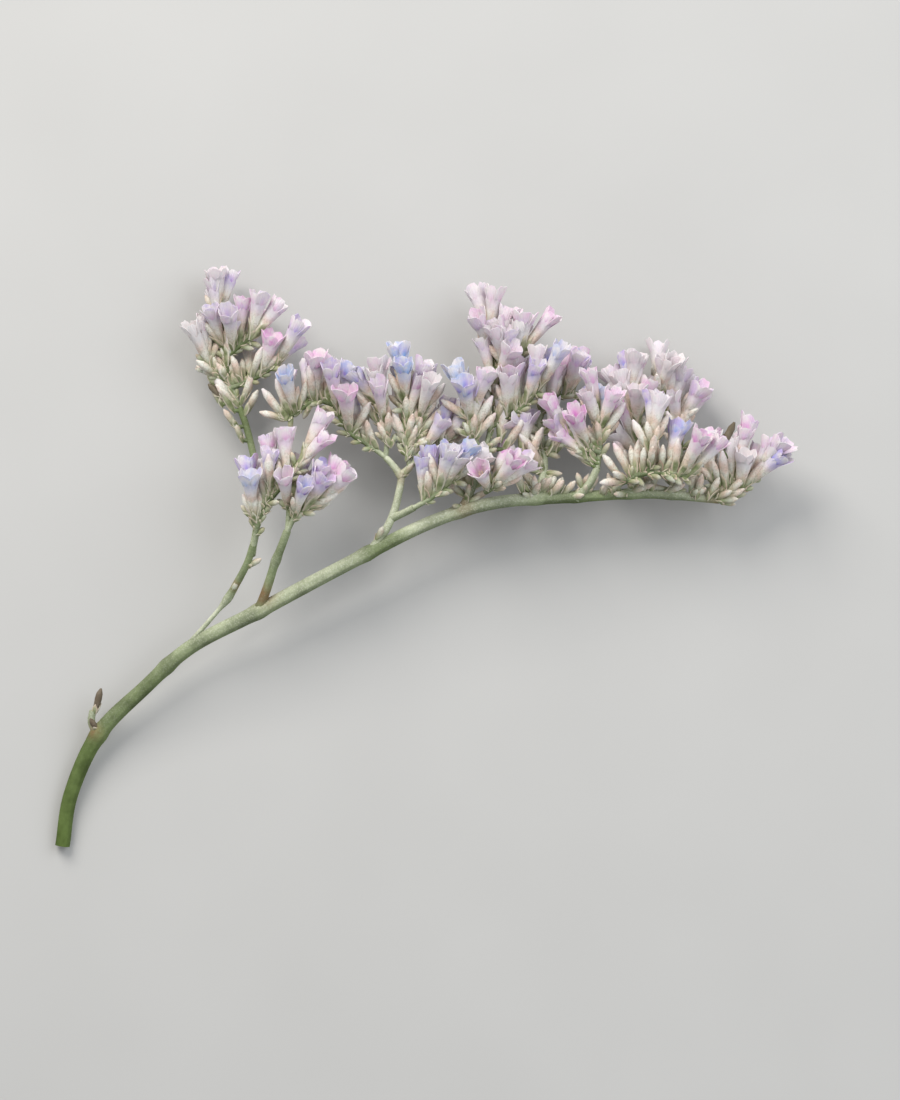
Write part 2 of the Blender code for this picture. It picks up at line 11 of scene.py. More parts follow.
import bpy
import numpy as np
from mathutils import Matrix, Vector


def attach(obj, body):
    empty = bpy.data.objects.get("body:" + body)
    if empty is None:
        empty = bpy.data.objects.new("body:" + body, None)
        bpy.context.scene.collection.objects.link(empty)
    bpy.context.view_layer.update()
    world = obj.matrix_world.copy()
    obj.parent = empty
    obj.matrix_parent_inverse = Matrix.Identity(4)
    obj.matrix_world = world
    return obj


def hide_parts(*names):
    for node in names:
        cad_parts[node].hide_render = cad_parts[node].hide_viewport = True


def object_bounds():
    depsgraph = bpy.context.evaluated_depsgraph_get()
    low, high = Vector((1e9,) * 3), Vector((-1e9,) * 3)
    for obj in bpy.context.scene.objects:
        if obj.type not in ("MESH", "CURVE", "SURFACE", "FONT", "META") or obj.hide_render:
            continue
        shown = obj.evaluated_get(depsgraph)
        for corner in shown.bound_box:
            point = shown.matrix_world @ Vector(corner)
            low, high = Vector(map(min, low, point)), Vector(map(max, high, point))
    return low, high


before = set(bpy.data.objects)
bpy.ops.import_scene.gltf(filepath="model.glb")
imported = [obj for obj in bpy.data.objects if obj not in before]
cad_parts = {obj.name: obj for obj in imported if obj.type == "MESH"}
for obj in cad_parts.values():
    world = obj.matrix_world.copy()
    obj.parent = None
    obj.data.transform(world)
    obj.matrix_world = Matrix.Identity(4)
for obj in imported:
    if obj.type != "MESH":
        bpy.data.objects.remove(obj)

CAD_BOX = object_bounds()
MM = 0.001

# Driving dimensions of the layout, in millimetres, and how many petals a floret has
STALK_BASE_DIAMETER = 1.05
STALK_TIP_DIAMETER = 0.85
TWIG_BASE_DIAMETER = 0.8
TWIG_TIP_DIAMETER = 0.62
FLORET_LENGTH = 6.3
BUD_LENGTH = 3.6
BRACT_RADIUS = 0.5
NODE_GAP = 0.4
BOX_CENTRE = (-0.5, -0.4)
LOBES = 5
ROOT_STEP = 0.25

# How florets are spread before they are nudged apart
AIM_JITTER = 9.0
LEAN_JITTER = 8.0
LENGTH_JITTER = 0.1
TIP_SHARE = 0.3
SEED = 17

# Balls that stand for a floret: share of its length, and radius
OPEN_BALLS = ((0.25, 0.55), (0.45, 0.8), (0.66, 1.1), (0.83, 1.5), (0.95, 1.85))
BUD_BALLS = ((0.2, 0.5), (0.4, 0.7), (0.6, 0.75), (0.8, 0.65), (0.95, 0.45))
BALL_STEP = 0.6
STEM_CLEARANCE = 0.85
SAME_HEAD_SHARE = 0.76
NUDGE_STEPS = 240
NUDGE_SHARE = 0.25
PULL_BACK = 0.06
FLOOR_DIP = 0.6
NEAR = 7.0
NEAR_STEPS = 20
TINY = 1e-9

# Main stem: x, y, z and diameter from the cut end to the tip
MAIN_STEM = [
    (-44.5, -35.6, 0.8, 1.75), (-43.4, -29.2, 1.2, 1.75), (-40.0, -22.0, 2.2, 1.9),
    (-34.2, -16.2, 3.7, 1.7), (-28.6, -11.3, 5.0, 1.7), (-20.6, -7.1, 6.4, 1.75),
    (-10.6, -1.8, 7.5, 1.65), (-0.1, 3.5, 8.0, 1.55), (7.9, 6.0, 8.0, 1.5),
    (17.3, 6.7, 7.8, 1.35), (26.6, 7.1, 7.4, 1.15), (35.0, 6.4, 7.0, 0.95),
]

# Side stalks, each from inside the main stem to the foot of its flower head
STALKS = {
    "withered": [(-40.0, -22.0, 2.2), (-40.8, -20.5, 2.6), (-40.6, -19.1, 2.9)],
    "first": [
        (-31.6, -13.6, 4.4), (-28.6, -10.6, 5.2), (-26.4, -8.2, 5.8), (-24.2, -5.6, 6.6),
        (-22.9, -3.5, 7.4), (-21.7, -1.3, 8.4), (-20.9, 0.9, 9.4),
    ],
    "far_left": [
        (-21.2, -0.2, 8.9), (-20.7, 2.6, 6.9), (-20.5, 6.0, 5.0), (-20.7, 9.6, 4.1),
        (-21.3, 12.6, 3.7), (-22.1, 15.7, 3.6), (-22.8, 17.6, 3.6),
    ],
    "second": [
        (-20.4, -7.0, 6.5), (-19.2, -3.8, 7.8), (-18.4, -1.4, 8.8), (-17.5, 0.8, 9.8),
        (-16.8, 2.6, 10.6),
    ],
    "third": [
        (-7.3, -0.2, 7.7), (-5.2, 2.6, 8.0), (-4.1, 4.9, 8.1), (-3.4, 7.6, 8.2),
        (-3.1, 9.6, 8.2),
    ],
    "third_left": [(-3.2, 9.1, 8.2), (-4.1, 10.4, 8.2), (-5.1, 11.5, 8.1)],
    "third_right": [(-4.4, 4.2, 8.0), (-2.9, 4.8, 8.8), (-1.7, 5.4, 9.6)],
    "fourth": [(3.9, 4.9, 8.0), (5.0, 7.2, 8.0), (6.1, 10.0, 8.0), (6.9, 12.4, 8.2)],
    "fifth": [(12.9, 6.4, 7.9), (13.9, 9.6, 6.8), (13.8, 12.8, 6.2), (13.3, 15.6, 6.1)],
    "sixth": [(17.8, 6.5, 7.8), (19.4, 8.4, 8.6), (20.3, 10.2, 9.0)],
    "seventh": [(24.2, 7.0, 7.6), (25.2, 9.4, 6.6), (25.7, 11.6, 5.9)],
    "eighth": [(29.3, 6.8, 7.3), (30.1, 9.3, 6.0), (30.6, 11.2, 4.9)],
}

# Scale-like bracts on the stem: place, angle in the plane and lift in degrees, and length
STEM_BRACTS = [
    ((-39.9, -21.8, 2.5), 120, 20, 2.2), ((-40.5, -19.6, 2.9), 74, 5, 3.4),
    ((-31.2, -13.1, 4.6), 48, 8, 2.4), ((-23.9, -5.2, 6.7), 60, 25, 2.4),
    ((-21.9, -1.8, 8.2), 30, 20, 2.4), ((-20.0, -5.9, 6.8), 74, 20, 2.4),
    ((-6.3, 1.2, 7.9), 65, 25, 2.4), ((-3.2, 9.0, 8.2), 50, 15, 2.4),
    ((4.6, 6.2, 8.1), 80, 30, 2.4), ((13.1, 7.2, 7.8), 60, 30, 2.4),
    ((18.6, 7.5, 8.2), 110, 20, 2.4), ((24.5, 7.6, 7.5), 110, 30, 2.4),
    ((29.5, 7.3, 7.2), 60, 30, 2.4), ((13.9, 10.2, 6.7), 130, 20, 2.6),
    ((13.9, 12.2, 6.3), 60, 20, 2.6), ((5.3, 8.0, 8.1), 110, 20, 2.4), ((30.3, 10.1, 5.9), 65, 20, 2.4),
]


class Twig(NamedTuple):
    """A thin twig of a flower head, with florets in a front row and a back row."""

    points: list
    florets: int
    aim: tuple
    lean: float = 30.0
    buds: int = 0
    first: float = 0.3
    fan: float = 8.0


HEADS = {
    "flower_head_01": [
        Twig([(-22.9, 18.0, 3.7), (-23.9, 20.6, 3.8), (-24.5, 24.2, 4.0), (-25.1, 26.6, 4.2),
              (-25.3, 28.6, 4.4)], 8, (104, 90), 20, 1, 0.2, 12),
        Twig([(-23.7, 20.0, 3.8), (-22.2, 20.6, 4.1), (-20.4, 21.4, 4.8), (-18.4, 22.6, 5.4)],
             5, (102, 52), 20, 1, 0.25),
        Twig([(-24.4, 23.6, 4.0), (-22.8, 25.0, 4.9), (-21.4, 25.8, 5.7)], 3, (84, 60), 18, 0, 0.3),
        Twig([(-23.9, 20.6, 3.8), (-25.5, 21.4, 4.2), (-26.6, 22.8, 4.4)], 4, (122, 98), 14, 2, 0.4),
    ],
    "flower_head_02": [
        Twig([(-20.7, 1.5, 9.8), (-20.3, 3.4, 10.4), (-19.3, 5.8, 11.0), (-18.4, 8.2, 11.2)],
             4, (80, 90), 16, 1, 0.3),
        Twig([(-20.4, 2.9, 10.2), (-20.9, 4.2, 10.6), (-21.1, 5.2, 10.8)], 2, (96, 90), 10, 0, 0.6, 0),
        Twig([(-19.3, 5.8, 11.0), (-17.5, 8.0, 11.0), (-15.8, 10.2, 11.2)], 3, (78, 60), 13, 1, 0.4),
    ],
    "flower_head_03": [
        Twig([(-16.5, 3.1, 10.8), (-15.8, 4.4, 11.2), (-14.6, 5.2, 11.4), (-13.4, 5.8, 11.4)],
             5, (84, 46), 18, 0, 0.3),
        Twig([(-16.2, 3.8, 11.0), (-16.6, 5.2, 10.6), (-16.4, 6.4, 10.2)], 2, (84, 66), 16, 0, 0.5),
    ],
    "flower_head_04": [
        Twig([(-5.4, 11.9, 8.1), (-7.2, 13.0, 8.3), (-9.1, 14.2, 8.6), (-10.3, 15.8, 8.8),
              (-11.2, 17.6, 8.8), (-13.4, 18.2, 8.6), (-15.6, 17.0, 8.4), (-17.0, 16.0, 8.2)],
             10, (90, 94), 18, 1, 0.12),
    ],
    "flower_head_05": [
        Twig([(-4.3, 12.1, 8.8), (-4.9, 14.0, 8.6), (-5.4, 16.2, 8.5), (-5.6, 17.4, 8.5)],
             6, (92, 98), 18, 2, 0.3),
    ],
    "flower_head_06": [
        Twig([(-2.6, 10.5, 8.7), (-2.6, 13.0, 8.7), (-2.6, 16.4, 8.7), (-2.9, 19.2, 8.6)],
             6, (74, 84), 18, 1, 0.35),
        Twig([(-2.6, 12.0, 8.7), (-1.6, 13.2, 8.3), (-1.2, 15.0, 8.2), (-1.0, 16.8, 8.4)],
             4, (90, 62), 15, 1, 0.5),
    ],
    "flower_head_07": [
        Twig([(0.6, 9.4, 8.2), (1.1, 11.0, 7.6), (1.4, 12.4, 7.4), (1.9, 13.6, 7.4)],
             6, (105, 62), 18, 1, 0.35),
    ],
    "flower_head_08": [
        Twig([(-1.2, 5.8, 9.8), (0.2, 6.5, 10.2), (1.6, 7.6, 10.4), (2.8, 8.6, 10.4)],
             6, (84, 56), 17, 1, 0.3),
    ],
    "flower_head_09": [
        Twig([(6.9, 7.3, 8.8), (7.4, 7.6, 9.8), (7.8, 7.8, 10.8)], 4, (88, 32), 22, 0, 0.5),
    ],
    "flower_head_10": [
        Twig([(5.8, 12.2, 8.8), (5.2, 14.0, 9.0), (5.0, 15.2, 9.0), (5.3, 16.6, 9.0)],
             7, (98, 90), 16, 2, 0.3),
    ],
    "flower_head_11": [
        Twig([(7.1, 12.9, 8.1), (7.5, 15.1, 8.0), (7.8, 17.8, 7.6), (8.2, 20.8, 7.2),
              (7.9, 23.6, 6.6), (7.4, 25.8, 6.2)], 7, (80, 78), 20, 1, 0.35),
        Twig([(8.2, 20.2, 7.3), (9.6, 22.0, 7.2), (11.2, 23.8, 7.2)], 3, (84, 60), 17, 0, 0.4),
        Twig([(7.5, 15.1, 8.0), (9.4, 16.2, 8.4), (11.6, 17.8, 8.8), (13.2, 19.6, 9.0)],
             5, (86, 60), 20, 0, 0.35),
    ],
    "flower_head_12": [
        Twig([(13.4, 16.1, 6.1), (14.2, 17.8, 5.9), (15.6, 18.8, 5.7), (17.2, 19.0, 5.7)],
             6, (86, 70), 19, 0, 0.3),
    ],
    "flower_head_13": [
        Twig([(20.5, 10.7, 9.2), (20.6, 13.0, 9.6), (20.4, 16.4, 9.6)], 5, (76, 94), 17, 1, 0.35),
        Twig([(20.6, 12.0, 9.5), (18.8, 12.8, 10.0), (17.2, 13.6, 10.2)], 3, (100, 116), 40, 0, 0.4),
    ],
    "flower_head_14": [
        Twig([(25.8, 12.2, 5.8), (25.4, 14.6, 5.5), (24.6, 16.8, 5.4), (24.2, 18.4, 5.4)],
             8, (112, 94), 19, 2, 0.25),
    ],
    "flower_head_15": [
        Twig([(30.8, 11.8, 4.7), (30.2, 14.4, 4.3), (28.9, 16.8, 4.2), (27.8, 18.6, 4.2),
              (27.5, 19.8, 4.2)], 8, (54, 90), 19, 1, 0.2),
    ],
    "flower_head_16": [
        Twig([(23.2, 8.4, 9.0), (25.4, 9.4, 10.2), (27.8, 9.6, 10.4), (31.0, 9.2, 10.2)],
             8, (112, 50), 16, 5, 0.1),
        Twig([(26.2, 9.5, 10.3), (26.8, 11.4, 10.8), (26.6, 13.4, 10.8)], 4, (76, 98), 16, 3, 0.3),
    ],
    "flower_head_17": [
        Twig([(35.8, 6.4, 7.0), (37.2, 7.2, 6.8), (38.8, 8.6, 6.6)], 4, (66, 46), 17, 0, 0.4),
        Twig([(36.3, 6.8, 7.0), (36.5, 8.6, 7.0), (37.0, 10.2, 7.0)], 3, (85, 66), 17, 0, 0.4),
        Twig([(36.3, 6.8, 7.0), (35.0, 7.8, 7.2), (33.9, 8.9, 7.4)], 3, (112, 92), 17, 1, 0.5),
    ],
}

# One letter for each floret, in the order that a head's twigs grow them, from its colour
TINTS = {
    "flower_head_01": "wwlllllvwlmlllmpwwww",
    "flower_head_02": "wwllbvwpp",
    "flower_head_03": "vpvppwl",
    "flower_head_04": "wvpvlpplbl",
    "flower_head_05": "wwllwv",
    "flower_head_06": "wwlbbbwlwl",
    "flower_head_07": "wwvlvb",
    "flower_head_08": "wvvvbw",
    "flower_head_09": "pmpp",
    "flower_head_10": "wwlvbbb",
    "flower_head_11": "wwllwwwwlpwlvvs",
    "flower_head_12": "vbpbpp",
    "flower_head_13": "wbpvpmmm",
    "flower_head_14": "wwwwwwlv",
    "flower_head_15": "wplwwlww",
    "flower_head_16": "oowowvppwowv",
    "flower_head_17": "wlvpwppopw",
}

# Florets that fill the heads out: root, angle in the plane and lift in degrees, length, and letter
FILLING = {
    "flower_head_01": [
        ((-25.2, 28.8, 4.6), 97, 4, 5.8, "w"), ((-22.8, 25.0, 4.9), 86, 10, 6.2, "p"),
        ((-21.4, 25.8, 5.7), 76, 8, 6.0, "l"), ((-26.6, 22.8, 4.4), 103, 6, 5.6, "w"),
        ((-23.4, 17.0, 3.8), 118, 4, 5.4, "W"), ((-22.9, 17.6, 3.8), 135, 10, 4.0, "W"),
        ((-22.2, 16.6, 3.8), 62, 8, 3.6, "W"), ((-22.6, 18.0, 3.9), 68, 10, 4.4, "W"),
        ((-21.4, 20.9, 4.5), 70, 25, 4.6, "W"), ((-24.9, 17.7, 3.7), 116, 4, 3.2, "W"),
        ((-25.9, 20.2, 4.0), 108, 5, 3.8, "W"), ((-23.0, 15.0, 3.5), 126, 8, 3.0, "W"),
        ((-22.4, 13.4, 3.6), 112, 6, 2.4, "W"), ((-24.8, 18.6, 3.9), 134, 8, 2.6, "D"),
    ],
    "flower_head_02": [
        ((-15.0, 11.4, 11.3), 63, 4, 6.4, "p"), ((-18.8, 7.2, 11.2), 92, 22, 5.0, "W"),
        ((-20.6, 3.6, 10.5), 94, 20, 4.2, "W"), ((-17.2, 8.6, 11.1), 44, 5, 3.8, "W"),
    ],
    "flower_head_03": [
        ((-13.4, 5.8, 11.4), 60, 3, 6.5, "p"), ((-14.6, 5.2, 11.4), 71, 10, 6.4, "v"),
        ((-13.4, 5.8, 11.4), 34, 6, 5.0, "P"), ((-14.9, 4.9, 11.3), 28, 5, 4.0, "W"),
    ],
    "flower_head_04": [
        ((-10.7, 16.9, 8.8), 77, 4, 6.2, "v"), ((-17.0, 16.0, 8.2), 128, 8, 4.8, "W"),
        ((-16.4, 16.4, 8.3), 112, 12, 5.0, "W"), ((-16.8, 16.0, 8.1), 165, 5, 3.6, "W"),
        ((-13.6, 18.1, 8.6), 98, 30, 5.0, "W"), ((-9.1, 14.2, 8.6), 60, 12, 4.6, "W"),
    ],
    "flower_head_05": [
        ((-5.6, 17.4, 8.5), 96, 6, 6.2, "w"), ((-6.0, 15.6, 8.4), 124, 4, 4.6, "W"),
    ],
    "flower_head_06": [
        ((-2.6, 17.6, 8.7), 63, 5, 6.1, "l"), ((-1.1, 14.2, 8.2), 48, 5, 4.6, "W"),
        ((-2.5, 12.6, 8.6), 112, 10, 4.6, "W"), ((-0.9, 16.6, 8.4), 52, 5, 4.8, "L"),
    ],
    "flower_head_07": [
        ((1.2, 12.0, 7.4), 118, 6, 5.4, "L"), ((1.6, 13.0, 7.4), 50, 6, 5.6, "l"),
        ((-0.6, 12.2, 8.4), 58, 8, 5.0, "l"),
    ],
    "flower_head_08": [
        ((-0.6, 6.4, 10.0), 90, 6, 5.6, "v"), ((1.4, 7.5, 10.4), 106, 10, 4.8, "W"),
        ((2.8, 8.6, 10.4), 40, 6, 4.4, "B"), ((2.0, 8.0, 10.4), 66, 26, 5.0, "w"),
    ],
    "flower_head_09": [
        ((7.6, 7.8, 10.2), 112, 8, 4.4, "P"), ((7.8, 7.8, 10.8), 50, 18, 6.0, "p"),
        ((7.4, 7.7, 9.6), 20, 4, 4.2, "P"),
    ],
    "flower_head_10": [
        ((5.2, 14.4, 9.0), 60, 6, 5.2, "W"),
        ((5.3, 16.6, 9.0), 74, 8, 6.0, "l"), ((8.6, 13.4, 7.8), 82, 8, 5.2, "w"),
        ((9.0, 12.2, 7.8), 58, 6, 5.0, "W"),
    ],
    "flower_head_11": [
        ((7.4, 25.8, 6.2), 84, 4, 6.3, "o"), ((7.9, 23.6, 6.6), 73, 6, 6.4, "w"),
        ((9.6, 22.0, 7.2), 72, 4, 6.5, "w"), ((9.0, 21.3, 7.2), 80, 16, 6.2, "l"),
        ((12.4, 18.8, 8.9), 80, 4, 6.4, "w"), ((7.7, 20.2, 7.3), 101, 5, 6.0, "w"),
        ((11.0, 23.4, 7.2), 84, 8, 5.8, "p"), ((10.4, 17.0, 8.6), 96, 12, 6.0, "l"),
        ((8.2, 15.6, 8.2), 72, 16, 5.2, "W"), ((11.4, 17.6, 8.8), 60, 8, 5.0, "W"),
        ((11.3, 11.8, 7.2), 84, 6, 5.6, "l"), ((11.9, 10.8, 7.4), 66, 8, 4.8, "W"),
    ],
    "flower_head_12": [
        ((14.2, 17.8, 5.9), 108, 10, 5.4, "L"), ((13.8, 17.0, 6.0), 62, 6, 5.0, "W"),
        ((16.6, 18.9, 5.7), 60, 6, 5.6, "v"), ((13.6, 14.2, 6.2), 150, 25, 5.4, "w"),
        ((13.8, 12.6, 6.2), 140, 15, 5.2, "L"), ((13.9, 11.0, 6.5), 132, 20, 4.8, "W"),
        ((13.0, 7.6, 7.8), 125, 15, 4.6, "W"), ((12.4, 7.2, 8.0), 140, 10, 3.6, "W"),
        ((11.4, 7.0, 8.2), 104, 15, 4.0, "W"), ((13.9, 9.8, 6.9), 118, 25, 4.4, "L"),
        ((15.0, 13.2, 6.4), 88, 10, 5.6, "l"), ((15.4, 12.0, 6.6), 70, 8, 4.8, "P"),
        ((14.6, 16.8, 6.0), 84, 8, 5.8, "w"), ((14.2, 11.6, 6.4), 52, 10, 5.0, "W"),
    ],
    "flower_head_13": [
        ((18.8, 11.4, 9.8), 112, 6, 5.6, "w"), ((17.6, 12.2, 9.9), 124, 8, 5.2, "p"),
        ((20.0, 11.2, 9.4), 122, 8, 4.6, "W"), ((20.6, 13.6, 9.6), 56, 6, 5.4, "W"),
        ((20.5, 14.8, 9.6), 110, 20, 5.6, "w"), ((18.2, 12.0, 9.9), 142, 4, 4.0, "P"),
        ((19.8, 10.4, 9.2), 140, 5, 4.6, "P"), ((20.2, 10.8, 9.3), 155, 8, 4.0, "W"),
        ((19.0, 11.4, 9.7), 132, 8, 5.2, "p"),
    ],
    "flower_head_14": [
        ((25.4, 12.8, 5.8), 118, 6, 6.2, "m"), ((25.8, 12.2, 5.8), 132, 4, 5.0, "P"),
        ((25.0, 15.6, 5.6), 128, 8, 5.6, "w"), ((24.9, 15.8, 5.5), 66, 8, 5.8, "p"),
        ((24.2, 18.4, 5.4), 82, 6, 6.2, "w"), ((25.6, 11.4, 6.1), 130, 20, 5.8, "w"),
        ((24.9, 9.4, 6.8), 122, 15, 5.6, "P"), ((24.6, 8.6, 7.0), 106, 20, 4.2, "W"),
    ],
    "flower_head_15": [
        ((28.9, 16.8, 4.2), 69, 6, 6.1, "w"), ((28.2, 18.0, 4.2), 84, 20, 6.2, "w"),
        ((30.2, 14.4, 4.3), 98, 16, 5.6, "l"), ((30.6, 12.6, 4.6), 112, 10, 5.0, "W"),
        ((30.4, 13.6, 4.4), 76, 10, 5.4, "O"), ((29.6, 15.6, 4.2), 60, 8, 5.0, "O"),
    ],
    "flower_head_16": [
        ((26.7, 11.6, 10.8), 118, 10, 5.0, "W"), ((26.6, 13.4, 10.8), 78, 6, 6.0, "w"),
        ((24.4, 9.0, 9.7), 118, 6, 4.8, "P"), ((29.4, 9.4, 10.3), 84, 20, 4.6, "O"),
        ((23.4, 8.6, 9.2), 128, 8, 4.2, "W"),
    ],
    "flower_head_17": [
        ((38.8, 8.6, 6.6), 63, 8, 6.0, "l"), ((37.0, 10.2, 7.0), 78, 8, 5.4, "p"),
        ((34.4, 8.4, 7.4), 100, 14, 5.0, "W"), ((35.8, 7.4, 7.1), 96, 18, 5.2, "O"),
        ((37.6, 7.6, 6.8), 50, 14, 5.0, "W"), ((39.2, 9.4, 6.6), 53, 22, 6.2, "l"),
        ((35.0, 12.2, 7.9), 63, 4, 4.0, "D"), ((35.0, 6.3, 7.1), 25, 6, 3.4, "W"),
        ((34.7, 6.3, 7.4), 4, 8, 2.6, "W"), ((35.4, 6.7, 7.2), 42, 12, 3.6, "O"),
        ((33.6, 6.4, 7.6), 64, 20, 3.2, "W"), ((32.2, 6.5, 7.6), 78, 24, 3.4, "O"),
        ((35.0, 6.2, 7.0), 350, 4, 2.0, "W"),
    ],
}

# What a letter means: place on the scale of hues from sky blue to magenta, and depth of colour
TINT_VALUES = {
    "w": (0.72, 0.28), "l": (0.6, 0.62), "p": (0.78, 0.72), "m": (0.93, 1.0), "b": (0.04, 0.85),
    "v": (0.34, 1.0), "o": (0.82, 0.35), "s": (0.12, 0.45),
}
HUE_JITTER = 0.06
DEPTH_JITTER = 0.15

# Heads whose bracts and buds are browner than the rest, from 0 to 1
BROWN = {"flower_head_14": 0.2, "flower_head_15": 0.28, "flower_head_16": 0.35,
         "flower_head_17": 0.28, "flower_head_03": 0.2, "flower_head_13": 0.2}
USUAL_BROWN = 0.08

# Calyx, as rows of: share of the floret's length, radius, and how far the row is part of the lip
CALYX_ROWS = np.array([
    (0.00, 0.24, 0.0), (0.06, 0.32, 0.0), (0.14, 0.42, 0.0), (0.25, 0.53, 0.0), (0.38, 0.66, 0.0),
    (0.50, 0.78, 0.1), (0.60, 0.88, 0.3), (0.68, 0.99, 0.6), (0.75, 1.12, 1.0), (0.745, 1.07, 1.0),
    (0.67, 0.94, 0.6), (0.56, 0.74, 0.2), (0.44, 0.54, 0.0), (0.36, 0.30, 0.0),
])
OUTER_ROWS = 9
CALYX_COLUMNS = 20
CALYX_RIB = 0.06
CALYX_THROAT = 0.4
TOOTH_RISE = 0.04

# Petals: where they start, how they open and widen, how their end is cut, and how they wave
PETAL_START = 0.44
PETAL_ROOT_RADIUS = 0.40
PETAL_REACH = 2.0
PETAL_FLARE = 1.8
PETAL_STRAIGHT = 0.4
PETAL_INCURVE = 0.3
PETAL_NARROW = 0.6
PETAL_WIDE = 2.55
PETAL_WIDENING = 0.9
PETAL_HALF_TURN = 0.8
PETAL_SHOULDER = 0.36
PETAL_BLUNTNESS = 2.5
PETAL_CURL = 0.02
PETAL_CUP = 0.12
PETAL_OVERLAP = 0.06
PETAL_OPENS = (0.8, 1.08)
PETAL_GROWS = (0.94, 1.04)
PETAL_COLUMNS = 7
PETAL_ROWS = 5
PETAL_ROW_POWER = 0.8
PETAL_THICKNESS = 0.07
CRINKLE = 0.09
CRINKLE_WAVES = 6

# Florets: how far open, squeezed out of round, and bent at the tip as share of the length
FLORET_OPENS = (0.86, 1.0)
SQUASH = (0.78, 1.08)
BEND = 0.05

# Bracts of a floret: length, half its turn round the axis, and its direction, in radians
FLORET_BRACTS = ((1.3, 1.15, 0.4), (1.9, 1.25, 2.6), (2.6, 1.35, 4.7))
FLORET_BRACT_SIZES = (0.85, 1.15)

# Bracts of a bud: the same, with the length as share of the bud's
BUD_BRACTS = ((0.36, 1.2, 0.6), (0.5, 1.3, 2.9))
BUD_BRACT_SIZES = (0.9, 1.15)

# All bracts: how finely they are cut, how they are sunk, taper, and stand off what they hug
BRACT_COLUMNS = 4
BRACT_ROWS = 4
BRACT_THICKNESS = 0.08
BRACT_SUNK = 0.15
BRACT_TAPER = 0.6
BRACT_TIP = 0.03
BRACT_CLEARANCE = 0.05
BRACT_SPREAD = 0.12
BRACT_CLING = 0.4

# How much browner or fresher one bract is than its neighbours, and those of a closed floret
FLORET_BRACT_BROWN = (-0.15, 0.15)
BUD_BRACT_BROWN = (-0.15, 0.25)
CLOSED_BROWN = 0.3

# Closed buds: thickness, narrow foot, blunt tip, twisted folds, and the wall that bracts hug
BUD_RADIUS = 0.55
BUD_SLIM = 0.5
BUD_FOOT = 0.5
BUD_RISE = 0.8
BUD_BLUNTNESS = 0.6
BUD_ENDS = (0.03, 0.985)
BUD_COLUMNS = 10
BUD_ROWS = 6
BUD_FOLD = 0.14
BUD_TWIST = 2.5
BUD_PALING = 0.17
BUD_WALL_SHARE = 0.98
BUD_WALL_LEAST = 0.02

# Small closed buds that crowd the twigs between the florets: their spacing, lengths, lean and tint
CROWD_STEP = 0.7
CROWD_SHORT = (1.4, 2.4)
CROWD_LONG = (2.8, 4.6)
CROWD_TURN = 0.6
CROWD_SPREAD = 0.3
CROWD_FLATTEN = 0.6
CROWD_DROP = 0.3
CROWD_NEAR = 3.0
CROWD_CLEAR = 1.5
CROWD_HUES = (0.5, 0.95)
CROWD_DEPTHS = (0.1, 0.6)

# The ones on the stem: how many to a place at most, lengths, half turns round it, and lean
CROWD_COUNT = 3
CROWD_ON_STEM = (1.6, 3.4)
CROWD_ROUND = (-0.2, 0.36)
CROWD_FORWARD = (-0.2, 1.2)

# Thin stalks of the florets that stand off the twigs
PEDICEL_RADIUS = 0.26
PEDICEL_REACH = 0.3
PEDICEL_STEPS = 5

# Stamens: rows of share of the floret's length and radius, and the circle that they stand in
STAMENS = 5
STAMEN_ROWS = np.array([(0.44, 0.04), (0.66, 0.035), (0.68, 0.07), (0.71, 0.08), (0.735, 0.03)])
STAMEN_CIRCLE = 0.24
STAMEN_COLUMNS = 4

# Stem: how finely its skin is cut, its ridges, and its swollen joints
STEM_STEP = 0.45
STEM_COLUMNS = 30
STALK_COLUMNS = 18
TWIG_COLUMNS = 12
STEM_RIDGES = 7
RIDGE_DEPTH = 0.045
RIDGE_TWIST = 2.5
JOINT_SWELL = 0.16
JOINT_REACH = 0.9
STALK_FLARE = 0.25
STALK_FLARE_REACH = 1.0
NODE_SWELL = 0.2
NODE_REACH = 0.5
TWIG_SHARE = 0.8
JOIN_REACH = 1.6

# Waxy bloom of the main stem, as share of its length and how pale it is there
STEM_BLOOM_AT = ((0.0, 0.0), (0.13, 0.08), (0.17, 0.3), (0.25, 0.3), (0.34, 0.7), (0.5, 1.0),
                 (0.54, 0.9), (0.56, 0.35), (0.59, 0.4), (0.62, 1.15), (0.75, 1.1), (0.79, 0.5),
                 (0.84, 0.35), (0.89, 0.6), (0.96, 1.1), (1.0, 1.1))
STALK_BLOOM = 1.05
TWIG_BLOOM = 0.25
TWIG_BLOOM_REACH = 2.4

# Painted shade: bloom is thinner on the side away from the key light, which paints that side of stems
# and twigs darker: the way the lit side faces, and the least share of bloom on the shaded side
LIT_SIDE = (0.0, 0.92, 0.39)
SHADED_SIDE_BLOOM = 0.15

# Stalks of an uneven girth: share of the length, girth and bloom
UNEVEN_STALKS = {
    "first": ((0.0, 0.6, 1.3), (0.5, 0.56, 1.3), (0.59, 1.2, 1.1), (0.65, 1.0, 0.5),
              (1.0, 0.98, 0.4)),
    "second": ((0.0, 1.1, 0.4), (0.52, 1.08, 0.5), (0.62, 1.35, 0.8), (0.72, 1.1, 0.5),
               (1.0, 1.1, 0.7)),
    "far_left": ((0.0, 1.0, 0.6), (0.6, 1.0, 0.45), (1.0, 0.95, 0.2)),
    "third": ((0.0, 1.0, 1.2), (1.0, 1.0, 1.5)),
    "third_left": ((0.0, 1.0, 1.5), (1.0, 0.9, 1.3)),
    "third_far": ((0.0, 0.85, 1.4), (1.0, 0.8, 1.0)),
}
EVEN_STALK = ((0.0, 1.0, STALK_BLOOM), (1.0, 1.0, STALK_BLOOM))

